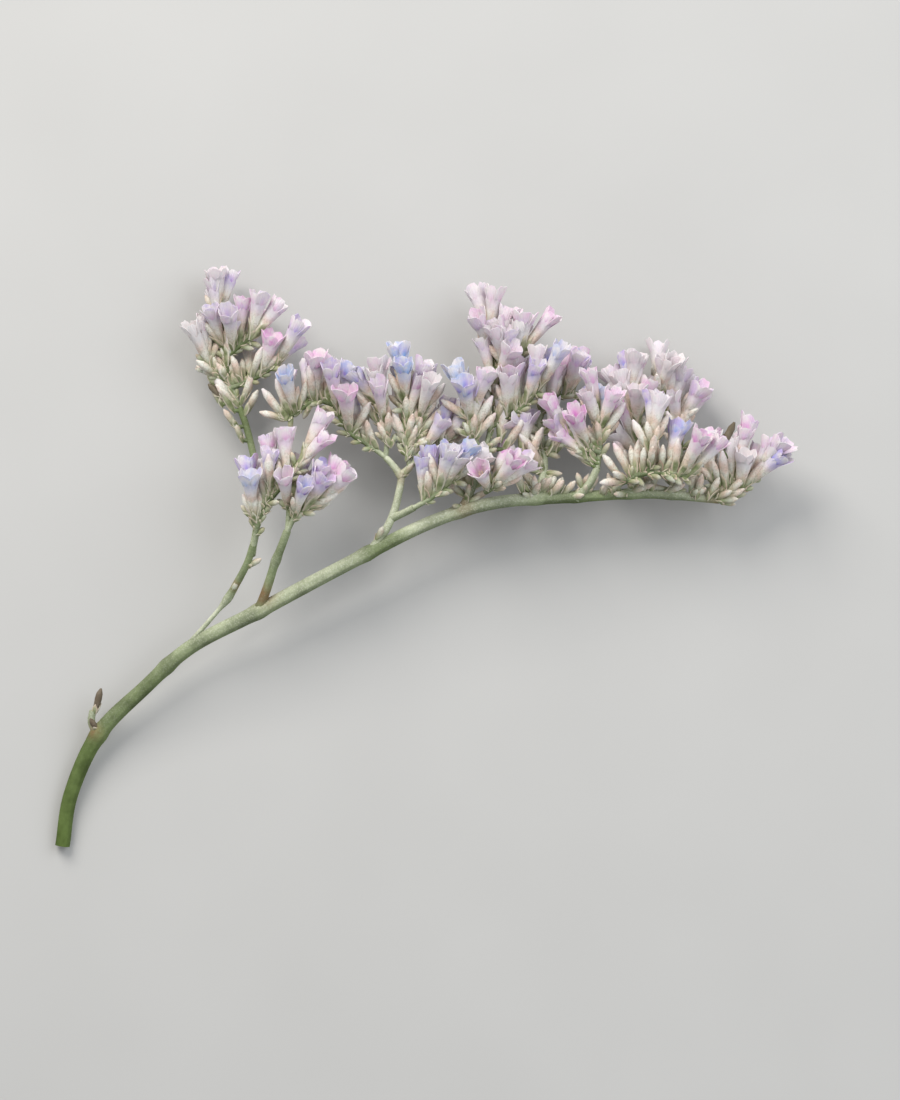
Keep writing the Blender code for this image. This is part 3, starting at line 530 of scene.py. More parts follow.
# Short stalks that only the finer model has: from the fork to the flowers on its right
SHORT_STALKS = {
    "third_far": [(-3.2, 9.4, 8.2), (-2.2, 10.3, 8.3), (-1.3, 11.3, 8.4), (-0.6, 12.4, 8.4)],
}

# Stalks that small buds crowd too, and the share of the main stem past which they crowd it
CROWDED_STALKS = ("fourth", "fifth", "seventh", "eighth")
CROWDED_STEM = 0.74

# Brown or reddish places on the stem: place, reach and depth of colour
STEM_BLUSHES = [
    ((-40.4, -21.6, 2.8), 0.9, 0.6), ((-19.7, -4.9, 7.4), 1.3, 0.7), ((-23.1, -3.8, 7.3), 0.6, 0.8),
    ((-3.0, 9.2, 8.5), 0.9, 0.5), ((4.2, 5.6, 8.0), 1.2, 0.6), ((35.4, 6.6, 7.0), 2.0, 0.6),
]

# Hue and depth of the scales on the stem, the first of them withered, and of a dry brown bud
SCALE_TINT = (0.8, 0.3)
WITHERED_TINT = (1.1, 0.3)
DRY_TINT = (1.0, 0.0)
WITHERED_SCALES = 2

# How brown the bracts of a scale are, as share of its hue
SCALE_BROWNING = 0.25

# Values that each point of a piece stores for the materials
VALUE_NAMES = ("along", "edge", "hue", "depth")

# Edges that turn by more than this stay sharp
CREASE_ANGLE = math.radians(62)

# A point lower than this is squeezed towards the surface and never reaches it
SQUEEZE_BELOW = 0.5

# Camera: it looks straight down, and the picture is this high and wide at the middle of the branch
VIEW_CENTRE = (2.64, 0.36)
VIEW_HEIGHT = 132.0
FOCUS_HEIGHT = 8.0
LENS = 150.0
SENSOR = 36.0
CLIP_START = 0.01


class Finish(NamedTuple):
    """How a material is mottled, grained, embossed and lit.

    Coarse and fine are cells of noise to the metre, and relief is in millimetres.
    """

    coarse: float
    fine: float
    strength: float
    relief: float
    roughness: float
    translucence: float
    shine: float = 0.35


FINISHES = {
    "petal": Finish(900.0, 3000.0, 0.45, 0.08, 0.62, 0.35),
    "calyx": Finish(700.0, 4200.0, 0.5, 0.09, 0.65, 0.3),
    "bract": Finish(1100.0, 4800.0, 0.4, 0.05, 0.7, 0.15),
    "stem": Finish(2200.0, 5200.0, 0.5, 0.06, 0.75, 0.05, 0.15),
    "anther": Finish(2500.0, 6000.0, 0.5, 0.03, 0.75, 0.1),
}

# Light inside thin parts: how far it spreads, in millimetres, and its red, green and blue shares
SCATTER = 0.4
SCATTER_COLOURS = (1.0, 0.8, 0.8)

# Mottling: layers and roughness of its noise, and where its patches fade in
COARSE_DETAIL = 3.0
FINE_DETAIL = 4.0
FINE_ROUGHNESS = 0.6
PATCH_FADE = (0.35, 0.65)

# A Mix node for colours: its inputs for the share and the two colours, and its output
MIX_INPUTS = (0, 6, 7)
MIX_OUTPUT = 2

# Colours, as linear red, green and blue
HUES = ((0.0, (0.27, 0.43, 0.76)), (0.33, (0.36, 0.28, 0.68)), (0.6, (0.60, 0.405, 0.68)),
        (0.8, (0.73, 0.385, 0.63)), (1.0, (0.66, 0.21, 0.57)))
PETAL_WHITE = (0.735, 0.685, 0.68, 1)
PETAL_CREAM = (0.715, 0.68, 0.62, 1)
CALYX_CREAM = (0.69, 0.675, 0.60, 1)
CALYX_GREEN = (0.20, 0.25, 0.10, 1)
CALYX_PEACH = (0.61, 0.44, 0.36, 1)
CALYX_DUST = (0.27, 0.24, 0.16, 1)
CALYX_RIB_GREEN = (0.42, 0.42, 0.24, 1)
BRACT_GREEN = (0.145, 0.175, 0.07, 1)
BRACT_SAGE = (0.32, 0.335, 0.20, 1)
BRACT_PALE = (0.64, 0.61, 0.49, 1)
BRACT_PEACH = (0.56, 0.38, 0.28, 1)
BRACT_BROWN = (0.10, 0.055, 0.05, 1)
STEM_DARK = (0.045, 0.07, 0.012, 1)
STEM_GREEN = (0.11, 0.16, 0.042, 1)
STEM_BLOOM = (0.53, 0.555, 0.41, 1)
STEM_SALT = (0.70, 0.71, 0.60, 1)
STEM_BROWN = (0.26, 0.12, 0.06, 1)
ANTHER_CREAM = (0.80, 0.74, 0.55, 1)
ANTHER_GOLD = (0.70, 0.56, 0.30, 1)
FLOOR_LOW = (0.45, 0.445, 0.43, 1)
FLOOR_HIGH = (0.49, 0.485, 0.47, 1)
SKY = (0.93, 0.96, 1.0, 1)

# Petals: patches of hue, colour in the throat and its middle, the veins, and white past the foot
HUE_COARSE = 420.0
HUE_SPREAD = 0.34
PATCH_DEPTH = 0.72
PETAL_WASH = 0.03
THROAT_COMES = (0.15, 0.5)
THROAT_GOES = (1.0, 0.5)
MIDDLE_FADE = (0.75, 0.05)
MIDDLE_SHARE = 0.6
VEINS = 22.0
VEIN_RELIEF = 0.35
WHITE_FADE = (0.1, 0.7)

# Calyx: peach patches, the green foot, the white lip, green ribs, dust, and the wash at the lip
PEACH_SHARE = 0.8
GREEN_FADE = (0.0, 0.5)
LIP_FADE = (0.5, 0.95)
RIB_ACROSS = (0.6, 1.0)
RIB_ALONG = (0.9, 0.3)
RIB_SHARE = 0.35
DUST_GRAIN = (0.48, 0.64)
DUST_ALONG = (1.0, 0.45)
DUST_SHARE = 0.4
WASH_ALONG = (0.55, 1.0)
WASH_PATCHES = 0.5
WASH_LEAST = 0.15

# Bracts: thin margins and tip, peach patches in them, and brown with age
MARGIN_ACROSS = (0.45, 0.95)
MARGIN_ALONG = (0.6, 1.0)
MARGIN_PATCHES = 0.3
AGED_FADE = (0.45, 1.1)
AGED_SHARE = 0.75

# Stem: patches of green, uneven bloom, dark specks, salty specks, and uneven brown places
STEM_COARSE = 260.0
STEM_FINE = 2600.0
BLOOM_PATCHES = 0.35
BLOOM_EVEN = 0.6
SPECK_SHARE = 0.18
SALT_FADE = (0.5, 0.62)
SALT_SHARE = 0.38
BLUSH_PATCHES = 0.3

# The surface, in metres
FLOOR_WIDTH = 3.0
FLOOR_HEIGHT = -0.00002
FLOOR_MOTTLE = 40.0
FLOOR_ROUGHNESS = 0.85


class Lamp(NamedTuple):
    """A soft square lamp: its place and width in metres, its power in watts, and its colour."""

    place: tuple
    width: float
    power: float
    colour: tuple


LAMPS = {
    "key": Lamp((-0.2, 0.36, 0.34), 0.3, 2.75, (1.0, 0.97, 0.93)),
    "fill": Lamp((0.3, 0.18, 0.38), 0.4, 1.4, (0.93, 0.96, 1.0)),
}
SKY_STRENGTH = 0.53

# Seed of all that the finer skins draw at random
LOOK_SEED = 5


def smooth_path(points, step):
    """Catmull-Rom curve through the points: each span is a cubic from its four neighbours."""
    control = np.asarray(points, float)
    control = np.vstack([2 * control[0] - control[1], control, 2 * control[-1] - control[-2]])
    samples = []
    for i in range(1, len(control) - 2):
        a, b, c, d = control[i - 1:i + 3]
        count = max(1, round(np.linalg.norm((c - b)[:3]) / step))
        t = (np.arange(count) / count)[:, None]
        samples.append(0.5 * (2 * b + (c - a) * t + (2 * a - 5 * b + 4 * c - d) * t ** 2
                              + (3 * b - a - 3 * c + d) * t ** 3))
    return np.vstack(samples + [control[-2:-1]])


def unit(vectors):
    """Vectors shortened or stretched to a length of 1."""
    return vectors / np.linalg.norm(vectors, axis=-1, keepdims=True)


def direction(aim, lean):
    """Unit vector at an angle in the XY plane, raised towards +Z by the lean."""
    a = math.radians(aim)
    b = math.radians(lean)
    return np.array([math.cos(b) * math.cos(a), math.cos(b) * math.sin(a), math.sin(b)])


class Floret(NamedTuple):
    """Where a floret or bud grows: its root, direction, length, roll, and whether it is open."""

    head: str
    root: np.ndarray
    way: np.ndarray
    length: float
    roll: float
    is_open: bool


def plant_florets():
    """Places florets evenly along each twig, in a front and a back row by turns."""
    florets = []
    for index, (head, twigs) in enumerate(HEADS.items()):
        draw = np.random.default_rng((SEED, index))
        for twig in twigs:
            path = smooth_path(twig.points, ROOT_STEP)
            for k in range(twig.florets):
                share = k / max(1, twig.florets - 1)
                along = twig.first + (1 - twig.first) * share
                root = path[round(along * (len(path) - 1))]
                row = 1 if k % 2 == 0 else -1
                side = 1 if k // 2 % 2 == 0 else -1
                inward = TIP_SHARE if share == 1 else 1.0
                lean = row * twig.lean * inward
                aim = twig.aim[0] + (twig.aim[1] - twig.aim[0]) * share + side * twig.fan * inward
                jitter = draw.uniform(-1, 1, 4)
                way = direction(aim + AIM_JITTER * jitter[0], lean + LEAN_JITTER * jitter[1])
                is_open = k >= twig.buds
                length = FLORET_LENGTH if is_open else BUD_LENGTH
                length *= 1 + LENGTH_JITTER * jitter[2]
                florets.append(Floret(head, root, way, length, math.pi * jitter[3], is_open))
    return florets


def strung_balls(points, radius):
    """Balls along a smooth path, close enough to stand for a tube of that radius."""
    path = smooth_path([point[:3] for point in points], BALL_STEP)
    return np.column_stack([path, np.full(len(path), radius)])


def fixed_balls():
    """Balls of the stem, owned by no head, and of each head's twigs, owned by that head."""
    balls = [strung_balls(MAIN_STEM, STEM_CLEARANCE)]
    balls += [strung_balls(points, STALK_BASE_DIAMETER / 2) for points in STALKS.values()]
    for spot, aim, lift, length in STEM_BRACTS:
        tip = np.array(spot) + length * direction(aim, lift)
        balls.append(strung_balls([spot, tip], BRACT_RADIUS))
    owners = [-1] * sum(len(ball) for ball in balls)
    for index, twigs in enumerate(HEADS.values()):
        for twig in twigs:
            balls.append(strung_balls(twig.points, TWIG_BASE_DIAMETER / 2))
            owners += [index] * len(balls[-1])
    return np.vstack(balls), np.array(owners)


def near_pairs(centres, radii, owners, floret_of, fixed, fixed_owners):
    """Pairs of balls that could meet, the distance each pair needs, and its share of a push.

    Two balls that can both move share a push by halves. Balls of one head may overlap a little.
    Balls of two heads, or of a head and the stem, keep the gap between nodes. A head's own twigs
    don't push its florets.
    """
    everyone = np.vstack([centres, fixed[:, :3]])
    all_radii = np.concatenate([radii, fixed[:, 3]])
    all_owners = np.concatenate([owners, fixed_owners])
    moving = len(centres)
    apart = np.linalg.norm(centres[:, None] - everyone[None], axis=2)
    near = apart < NEAR
    near[:, :moving] &= floret_of[:, None] != floret_of[None]
    near[:, moving:] &= owners[:, None] != fixed_owners[None]
    one, other = np.nonzero(near)
    reach = radii[one] + all_radii[other]
    same = owners[one] == all_owners[other]
    needed = np.where(same, reach * SAME_HEAD_SHARE, reach + NODE_GAP)
    weight = np.where(other < moving, 0.5, 1.0)
    return one, other, needed, weight


def nudge_apart(florets):
    """Turns florets about their roots until each head clears the other heads and the stem.

    Five balls stand for each floret. A step pushes overlapping balls apart, lifts those below
    the surface, and turns every floret by the push over the ball's distance from its root.
    """
    heads = list(HEADS)
    strings = np.array([OPEN_BALLS if floret.is_open else BUD_BALLS for floret in florets])
    roots = np.array([floret.root for floret in florets])
    first_ways = np.array([floret.way for floret in florets])
    arms = strings[:, :, 0] * np.array([floret.length for floret in florets])[:, None]
    radii = strings[:, :, 1].ravel()
    count = strings.shape[1]
    floret_of = np.repeat(np.arange(len(florets)), count)
    owners = np.array([heads.index(floret.head) for floret in florets])[floret_of]
    fixed, fixed_owners = fixed_balls()
    ways = first_ways.copy()
    for step in range(NUDGE_STEPS):
        centres = (roots[:, None] + arms[..., None] * ways[:, None]).reshape(-1, 3)
        if step % NEAR_STEPS == 0:
            one, other, needed, weight = near_pairs(centres, radii, owners, floret_of, fixed,
                                                    fixed_owners)
        between = centres[one] - np.vstack([centres, fixed[:, :3]])[other]
        apart = np.linalg.norm(between, axis=1) + TINY
        push = between * (np.clip(needed - apart, 0, None) * weight / apart)[:, None]
        total = np.column_stack([np.bincount(one, push[:, axis], len(centres))
                                 for axis in range(3)])
        total[:, 2] += np.clip(radii - FLOOR_DIP - centres[:, 2], 0, None)
        turn = (total.reshape(-1, count, 3) / arms[..., None]).sum(axis=1) * NUDGE_SHARE
        pull = PULL_BACK * (1 - step / NUDGE_STEPS)
        ways = unit(ways + turn + pull * (first_ways - ways))
    return [floret._replace(way=way) for floret, way in zip(florets, ways)]


def grid_triangles(rows, columns, wrap):
    """Two triangles for each cell of a grid of points. With wrap, the last column meets the first."""
    index = np.arange(rows * columns).reshape(rows, columns)
    left = index if wrap else index[:, :-1]
    right = np.roll(index, -1, axis=1) if wrap else index[:, 1:]
    a, b, c, d = left[:-1], right[:-1], right[1:], left[1:]
    return np.concatenate([np.stack([a, b, c], -1).reshape(-1, 3),
                           np.stack([a, c, d], -1).reshape(-1, 3)])


def closed_round(rings):
    """Closes a stack of rings with a pole at each end, and gives its points and triangles.

    A ring runs anticlockwise round the way from the first ring to the last, so that the faces
    point out. The poles, in the middle of the end rings, come after the rings.
    """
    rows, columns = rings.shape[:2]
    points = np.vstack([rings.reshape(-1, 3), rings[0].mean(axis=0), rings[-1].mean(axis=0)])
    here = np.arange(columns)
    after = np.roll(here, -1)
    first, last = np.full(columns, rows * columns), np.full(columns, rows * columns + 1)
    top = (rows - 1) * columns
    return points, np.concatenate([grid_triangles(rows, columns, True),
                                   np.stack([first, after, here], -1),
                                   np.stack([top + here, top + after, last], -1)])


def thin_shell(grid, thickness):
    """Closes a sheet: its two faces stand half a thickness off along its normals, joined at the rim."""
    rows, columns = grid.shape[:2]
    normal = np.cross(np.gradient(grid, axis=1), np.gradient(grid, axis=0))
    normal /= np.linalg.norm(normal, axis=-1, keepdims=True) + TINY
    points = np.vstack([(grid + side * thickness / 2 * normal).reshape(-1, 3) for side in (1, -1)])
    faces = grid_triangles(rows, columns, False)
    index = np.arange(rows * columns).reshape(rows, columns)
    rim = np.concatenate([index[0, :-1], index[:-1, -1], index[-1, :0:-1], index[:0:-1, 0]])
    after = np.roll(rim, -1)
    back = rows * columns
    return points, np.concatenate([faces, faces[:, ::-1] + back,
                                   np.stack([after, rim, rim + back], -1),
                                   np.stack([after, rim + back, after + back], -1)])


def both_faces(grid, thickness, along, edge):
    """A closed sheet, and its values along it and across it, for the points of both its faces."""
    values = [np.tile(over(grid, value), 2) for value in (along, edge)]
    return thin_shell(grid, thickness), *values


def over(grid, values):
    """A value for each point of a grid, from values for its rows, its columns or both."""
    return np.broadcast_to(values, grid.shape[:2]).ravel()


def round_points(radius, angle, height):
    """Points at a radius and an angle round the Z axis, at a height."""
    return np.stack(np.broadcast_arrays(radius * np.cos(angle), radius * np.sin(angle), height), -1)


def around(columns):
    """Angles evenly all the way round, in radians."""
    return np.arange(columns) * math.tau / columns


def bell(apart, reach):
    """1 at no distance and next to nothing at twice the reach: exp(-(apart / reach)^2)."""
    return np.exp(-(apart / reach) ** 2)


def carried(path, radius, angle):
    """A profile carried along a path: path + radius (cos angle side + sin angle up).

    Side and up are square to the path, and side is level.
    """
    along = unit(np.gradient(path, axis=0))
    side = unit(np.cross(along, [0, 0, 1]))
    up = np.cross(along, side)
    ring = np.cos(angle)[None, :, None] * side[:, None] + np.sin(angle)[None, :, None] * up[:, None]
    return path[:, None] + radius[..., None] * ring


class Skin:
    """Closed surfaces gathered for one piece, with values for each point and a finish for each face."""

    def __init__(self):
        self.points = []
        self.triangles = []
        self.finishes = []
        self.values = {name: [] for name in VALUE_NAMES}
        self.count = 0

    def add(self, surface, finish, **values):
        """Adds a surface with its finish. A value that isn't given is 0."""
        points, triangles = surface
        self.points.append(points)
        self.triangles.append(triangles + self.count)
        self.finishes.append(np.full(len(triangles), list(FINISHES).index(finish)))
        for name in VALUE_NAMES:
            self.values[name].append(np.broadcast_to(values.get(name, 0.0), len(points)))
        self.count += len(points)

    def piece(self, name, materials):
        """The mesh object of everything added, in metres, with its smooth faces creased at edges."""
        points = to_frame(np.vstack(self.points))
        triangles = np.vstack(self.triangles)
        mesh = bpy.data.meshes.new(name)
        mesh.vertices.add(len(points))
        mesh.vertices.foreach_set("co", points.ravel())
        mesh.loops.add(triangles.size)
        mesh.loops.foreach_set("vertex_index", triangles.ravel())
        mesh.polygons.add(len(triangles))
        mesh.polygons.foreach_set("loop_start", np.arange(0, triangles.size, 3))
        mesh.polygons.foreach_set("loop_total", np.full(len(triangles), 3))
        mesh.polygons.foreach_set("material_index", np.concatenate(self.finishes))
        for finish in FINISHES:
            mesh.materials.append(materials[finish])
        for value, arrays in self.values.items():
            made = mesh.attributes.new(value, "FLOAT", "POINT")
            made.data.foreach_set("value", np.concatenate(arrays).astype(np.float32))
        mesh.update(calc_edges=True)
        mesh.shade_smooth()
        mesh.set_sharp_from_angle(angle=CREASE_ANGLE)
        return in_scene(name, mesh)


def in_scene(name, data):
    """A new object with a name and its data, put into the scene."""
    made = bpy.data.objects.new(name, data)
    bpy.context.scene.collection.objects.link(made)
    return made


def to_frame(points):
    """Millimetres of the layout to metres of the frame, with low points squeezed above the surface.

    Below the height h, a height z becomes h exp(z / h - 1), which is always above 0. Points past
    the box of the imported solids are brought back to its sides.
    """
    height = points[:, 2]
    low = height < SQUEEZE_BELOW
    squeezed = SQUEEZE_BELOW * np.exp(np.minimum(height, SQUEEZE_BELOW) / SQUEEZE_BELOW - 1)
    placed = np.column_stack([points[:, :2] - BOX_CENTRE, np.where(low, squeezed, height)])
    lowest, highest = (np.array(corner) / MM for corner in CAD_BOX)
    return np.clip(placed, lowest, highest) * MM


def set_on(points, root, way, roll):
    """Points turned from +Z to a way, rolled about it and moved to its root.

    The turn is the shortest one: I + K + K K / (1 + c), with K the cross product by Z x way and
    c the cosine between them.
    """
    spin = np.array([[math.cos(roll), -math.sin(roll), 0], [math.sin(roll), math.cos(roll), 0],
                     [0, 0, 1]])
    x, y, z = np.cross([0, 0, 1], way)
    cross = np.array([[0, -z, y], [z, 0, -x], [-y, x, 0]])
    turn = np.eye(3) + cross + cross @ cross / (1 + way[2])
    return points @ (turn @ spin).T + root


def calyx_surface(length, opening):
    """Calyx: rows of radius and height round the axis, out and up to the lip and down inside.

    The radius is ribbed by 1 + a cos(5 angle), and the lip rises in five teeth by cos(5 angle).
    """
    angle = around(CALYX_COLUMNS)[None]
    share, radius, lip = CALYX_ROWS.T[:, :, None]
    teeth = np.cos(LOBES * angle)
    ribs = 1 + CALYX_RIB * teeth
    rings = round_points(radius * ribs * (1 + lip * (opening - 1)), angle,
                         length * (share + TOOTH_RISE * lip * teeth))
    along = np.append(over(rings, share / share.max()), [0, CALYX_THROAT])
    return closed_round(rings), along, np.append(over(rings, (1 + teeth) / 2), [0, 0])


def petal_surface(length, turn, opening, phase):
    """Petal: a sheet with s from -1 to 1 across it and t from 0 to 1 along it.

    Its end is cut round, where t loses a (1 - (1 - |s|^p)^(1 / p)) of itself. Its radius grows as
    r0 + d (c t + (1 - c) t^q) and turns in at the tip by f t^8. Its height is its share of the
    floret less a curl at the tip, e t^6. It is crinkled by w t^2 sin(6 s + phase), cupped inwards
    by g t (1 - s^2), and laps over its neighbour by k s. It spans an angle of half its width over
    its radius to either side, but no more than a given one.
    """
    s = np.sin(np.linspace(-1, 1, PETAL_COLUMNS) * math.pi / 2)[None]
    t = np.linspace(0, 1, PETAL_ROWS)[:, None] ** PETAL_ROW_POWER
    rounded = np.clip(1 - np.abs(s) ** PETAL_BLUNTNESS, 0, 1) ** (1 / PETAL_BLUNTNESS)
    t = t * (1 - PETAL_SHOULDER * (1 - rounded))
    wave = CRINKLE * t ** 2 * np.sin(CRINKLE_WAVES * s + phase)
    flare = PETAL_STRAIGHT * t + (1 - PETAL_STRAIGHT) * t ** PETAL_FLARE
    radius = (PETAL_ROOT_RADIUS + (PETAL_REACH * opening - PETAL_ROOT_RADIUS) * flare
              - PETAL_INCURVE * t ** 8)
    width = PETAL_NARROW + (PETAL_WIDE * opening - PETAL_NARROW) * t ** PETAL_WIDENING
    angle = turn + s * np.minimum(width / 2 / radius, PETAL_HALF_TURN)
    height = length * (PETAL_START + (1 - PETAL_START) * (t - PETAL_CURL * t ** 6)) + wave
    cup = PETAL_CUP * t * (1 - s ** 2) + PETAL_OVERLAP * s
    grid = round_points(radius + wave - cup, angle, height)
    return both_faces(grid, PETAL_THICKNESS, t, np.abs(s))


def bract_surface(length, half_turn, turn, wall):
    """Bract: a cupped scale that hugs a wall of given radius, s across and t along.

    Its foot is sunk by a (1 - t). Its half width is an angle that narrows as (1 - t^2)^p to a
    blunt point, and its radius stands off the wall by b t^3 (1 - c s^2) more towards the tip.
    """
    s = np.linspace(-1, 1, BRACT_COLUMNS)[None]
    t = np.linspace(0, 1, BRACT_ROWS)[:, None]
    angle = turn + s * (half_turn * (1 - t ** 2) ** BRACT_TAPER + BRACT_TIP)
    height = length * t - BRACT_SUNK * (1 - t)
    stand_off = BRACT_CLEARANCE + BRACT_SPREAD * t ** 3 * (1 - BRACT_CLING * s ** 2)
    grid = round_points(wall(height) + stand_off, angle, height)
    return both_faces(grid, BRACT_THICKNESS, t, np.abs(s))


def bud_radius(share, radius):
    """Radius of a closed bud at a share of its length, narrow at its foot and blunt at its tip.

    With u = share^p it is R (a + (1 - a) u) (1 - |2 u - 1|^3)^q.
    """
    rise = np.clip(share, 0, 1) ** BUD_RISE
    ends = (1 - np.abs(2 * rise - 1) ** 3) ** BUD_BLUNTNESS
    return radius * (BUD_FOOT + (1 - BUD_FOOT) * rise) * ends


def bud_surface(length, radius):
    """Closed bud: a spindle of five twisted folds, r(t) (1 + a cos(5 angle + b t)), t along it."""
    share = np.linspace(*BUD_ENDS, BUD_ROWS)[:, None]
    angle = around(BUD_COLUMNS)[None]
    folds = 1 + BUD_FOLD * np.cos(LOBES * angle + BUD_TWIST * share)
    rings = round_points(bud_radius(share, radius) * folds, angle, length * share)
    return closed_round(rings), np.append(over(rings, share), [0, 1])


def stamen_surfaces(length):
    """Stamens: thin threads in a circle round the axis, each ending in an anther."""
    share, radius = STAMEN_ROWS.T
    angle = around(STAMEN_COLUMNS)
    for turn in around(STAMENS):
        rings = round_points(radius[:, None], angle[None], length * share[:, None])
        yield closed_round(rings + STAMEN_CIRCLE * np.array([math.cos(turn), math.sin(turn), 0]))


def add_floret(skin, floret, tint, brown, draw):
    """An open floret: calyx, five petals, stamens, and three bracts round its foot.

    It is squeezed across by a share, and bent to one side by b z^2 / length at a height z.
    """
    length = floret.length
    opening = draw.uniform(*FLORET_OPENS)
    hue, depth = tint
    squash = draw.uniform(*SQUASH, size=2)
    bend = BEND * draw.normal(size=2)

    def grow(surface, finish, **values):
        points, triangles = surface
        height = points[:, 2:]
        bent = np.hstack([points[:, :2] * squash + bend * height ** 2 / length, height])
        skin.add((set_on(bent, floret.root, floret.way, floret.roll), triangles), finish, **values)

    surface, along, edge = calyx_surface(length, opening)
    grow(surface, "calyx", along=along, edge=edge, hue=hue, depth=depth)
    for turn in around(LOBES) + math.pi / LOBES:
        size, spread = length * draw.uniform(*PETAL_GROWS), opening * draw.uniform(*PETAL_OPENS)
        surface, along, edge = petal_surface(size, turn, spread, draw.uniform(0, math.tau))
        grow(surface, "petal", along=along, edge=edge, hue=hue, depth=depth)
    for surface in stamen_surfaces(length):
        grow(surface, "anther")
    share, radius, _ = CALYX_ROWS[:OUTER_ROWS].T

    def wall(height):
        return np.interp(height / length, share, radius)

    first = draw.uniform(0, math.tau)
    for size, half_turn, turn in FLORET_BRACTS:
        size *= draw.uniform(*FLORET_BRACT_SIZES)
        surface, along, edge = bract_surface(size, half_turn, first + turn, wall)
        grow(surface, "bract", along=along, edge=edge, hue=brown + draw.uniform(*FLORET_BRACT_BROWN))


def add_bud(skin, root, way, length, tint, brown, draw, finish="calyx"):
    """A closed bud with two bracts round its foot. The shorter it is, the greener and slimmer."""
    roll = draw.uniform(0, math.tau)
    radius = BUD_RADIUS * (BUD_SLIM + (1 - BUD_SLIM) * length / BUD_LENGTH)
    hue, depth = tint

    def grow(surface, finish, **values):
        points, triangles = surface
        skin.add((set_on(points, root, way, roll), triangles), finish, **values)

    def wall(height):
        return bud_radius(height / length, radius) * BUD_WALL_SHARE + BUD_WALL_LEAST

    surface, along = bud_surface(length, radius)
    grow(surface, finish, along=along * min(1, BUD_PALING * length), hue=hue, depth=depth)
    for share, half_turn, turn in BUD_BRACTS:
        size = length * share * draw.uniform(*BUD_BRACT_SIZES)
        surface, along, edge = bract_surface(size, half_turn, turn, wall)
        grow(surface, "bract", along=along, edge=edge, hue=brown + draw.uniform(*BUD_BRACT_BROWN))


def add_tube(skin, path, radius, columns, bloom, ridges=LOBES):
    """A tube along a path whose radius is ridged by 1 + a cos(n angle + slow twist).

    Its bloom is given for each step of the path, and is thinned to a + (1 - a) (1 + d) / 2, with
    d the cosine between the way a point faces and the lit side. This is painted shade: the side
    away from the key light is painted darker.
    """
    angle = around(columns)
    twist = np.linspace(0, RIDGE_TWIST, len(path))[:, None]
    ridged = radius[:, None] * (1 + RIDGE_DEPTH * np.cos(ridges * angle[None] + twist))
    rings = carried(path, ridged, angle)
    # Painted shade: bloom thins on the side turned away from the key light, so that side is painted
    # darker
    toward_light = (rings - path[:, None]) @ LIT_SIDE / ridged
    bloom = np.broadcast_to(bloom, len(path))[:, None]
    depth = bloom * (SHADED_SIDE_BLOOM + (1 - SHADED_SIDE_BLOOM) * (1 + toward_light) / 2)
    points, triangles = closed_round(rings)
    depth = np.append(depth.ravel(), [depth[0].mean(), depth[-1].mean()])
    skin.add((points, triangles), "stem", depth=depth, hue=blush_at(points))


def blush_at(points):
    """How brown or reddish the stem is at each point: the deepest of the blushes near it."""
    blushes = [depth * bell(np.linalg.norm(points - np.array(centre), axis=1), reach)
               for centre, reach, depth in STEM_BLUSHES]
    return np.max(blushes, axis=0)


def stem_places():
    """Places all along the main stem and its side stalks."""
    paths = [smooth_path(MAIN_STEM, STEM_STEP)[:, :3]]
    stalks = (STALKS | SHORT_STALKS).values()
    return np.vstack(paths + [smooth_path(stalk, STEM_STEP) for stalk in stalks])


def nearest(places, point):
    """The place nearest to a point, and how far off it is."""
    apart = np.linalg.norm(places - np.array(point), axis=1)
    return places[apart.argmin()], apart.min()


def nearest_apart(path, places):
    """How far off the nearest place is from each point of a path."""
    return np.linalg.norm(path[:, None] - places[None], axis=2).min(axis=1)


def joined_points(points, places):
    """A twig's points, with the nearest place on the stem for the first one where that is close."""
    place, apart = nearest(places, points[0])
    return [tuple(place)] + points[1:] if apart < JOIN_REACH else points


def add_twigs(skin, twigs, roots):
    """The twigs of a head, each swollen a little where a floret grows from it."""
    places = stem_places()
    for twig in twigs:
        path = smooth_path(joined_points(twig.points, places), STEM_STEP)
        radius = np.linspace(TWIG_BASE_DIAMETER, TWIG_TIP_DIAMETER, len(path)) / 2 * TWIG_SHARE
        radius *= 1 + NODE_SWELL * bell(nearest_apart(path, roots), NODE_REACH)
        near_stem = bell(nearest_apart(path, places), TWIG_BLOOM_REACH)
        bloom = TWIG_BLOOM + (STALK_BLOOM - TWIG_BLOOM) * near_stem
        add_tube(skin, path, radius, TWIG_COLUMNS, bloom)


def crowding_bud(skin, root, way, sizes, brown, draw):
    """A small bud that leans at random off its way.

    One that grows close to the main stem leans to the flowers' side of it, never across it.
    """
    way = (way + CROWD_SPREAD * draw.normal(size=3)) * [1, 1, CROWD_FLATTEN]
    stem_x, stem_y = np.array(MAIN_STEM)[:, :2].T
    if root[1] < np.interp(root[0], stem_x, stem_y) + CROWD_CLEAR:
        way[1] = abs(way[1])
    tint = (draw.uniform(*CROWD_HUES), draw.uniform(*CROWD_DEPTHS))
    add_bud(skin, root, unit(way), draw.uniform(*sizes), tint, brown, draw)


def crowding_buds(skin, twigs, florets, brown, draw):
    """Small buds all along the twigs, on either side by turns, and longer ones among the florets."""
    roots = np.array([floret.root for floret in florets])
    for twig in twigs:
        path = smooth_path(twig.points, CROWD_STEP)
        ways = unit(np.gradient(path, axis=0))
        for index in range(1, len(path)):
            side = np.cross(ways[index], [0, 0, 1]) * (1 if index % 2 else -1)
            way = ways[index] + CROWD_TURN * side
            crowding_bud(skin, path[index], way, CROWD_SHORT, brown, draw)
            apart = np.linalg.norm(roots - path[index], axis=1)
            if apart.min() < CROWD_NEAR:
                way = florets[apart.argmin()].way - [0, 0, CROWD_DROP]
                crowding_bud(skin, path[index], way, CROWD_LONG, brown, draw)


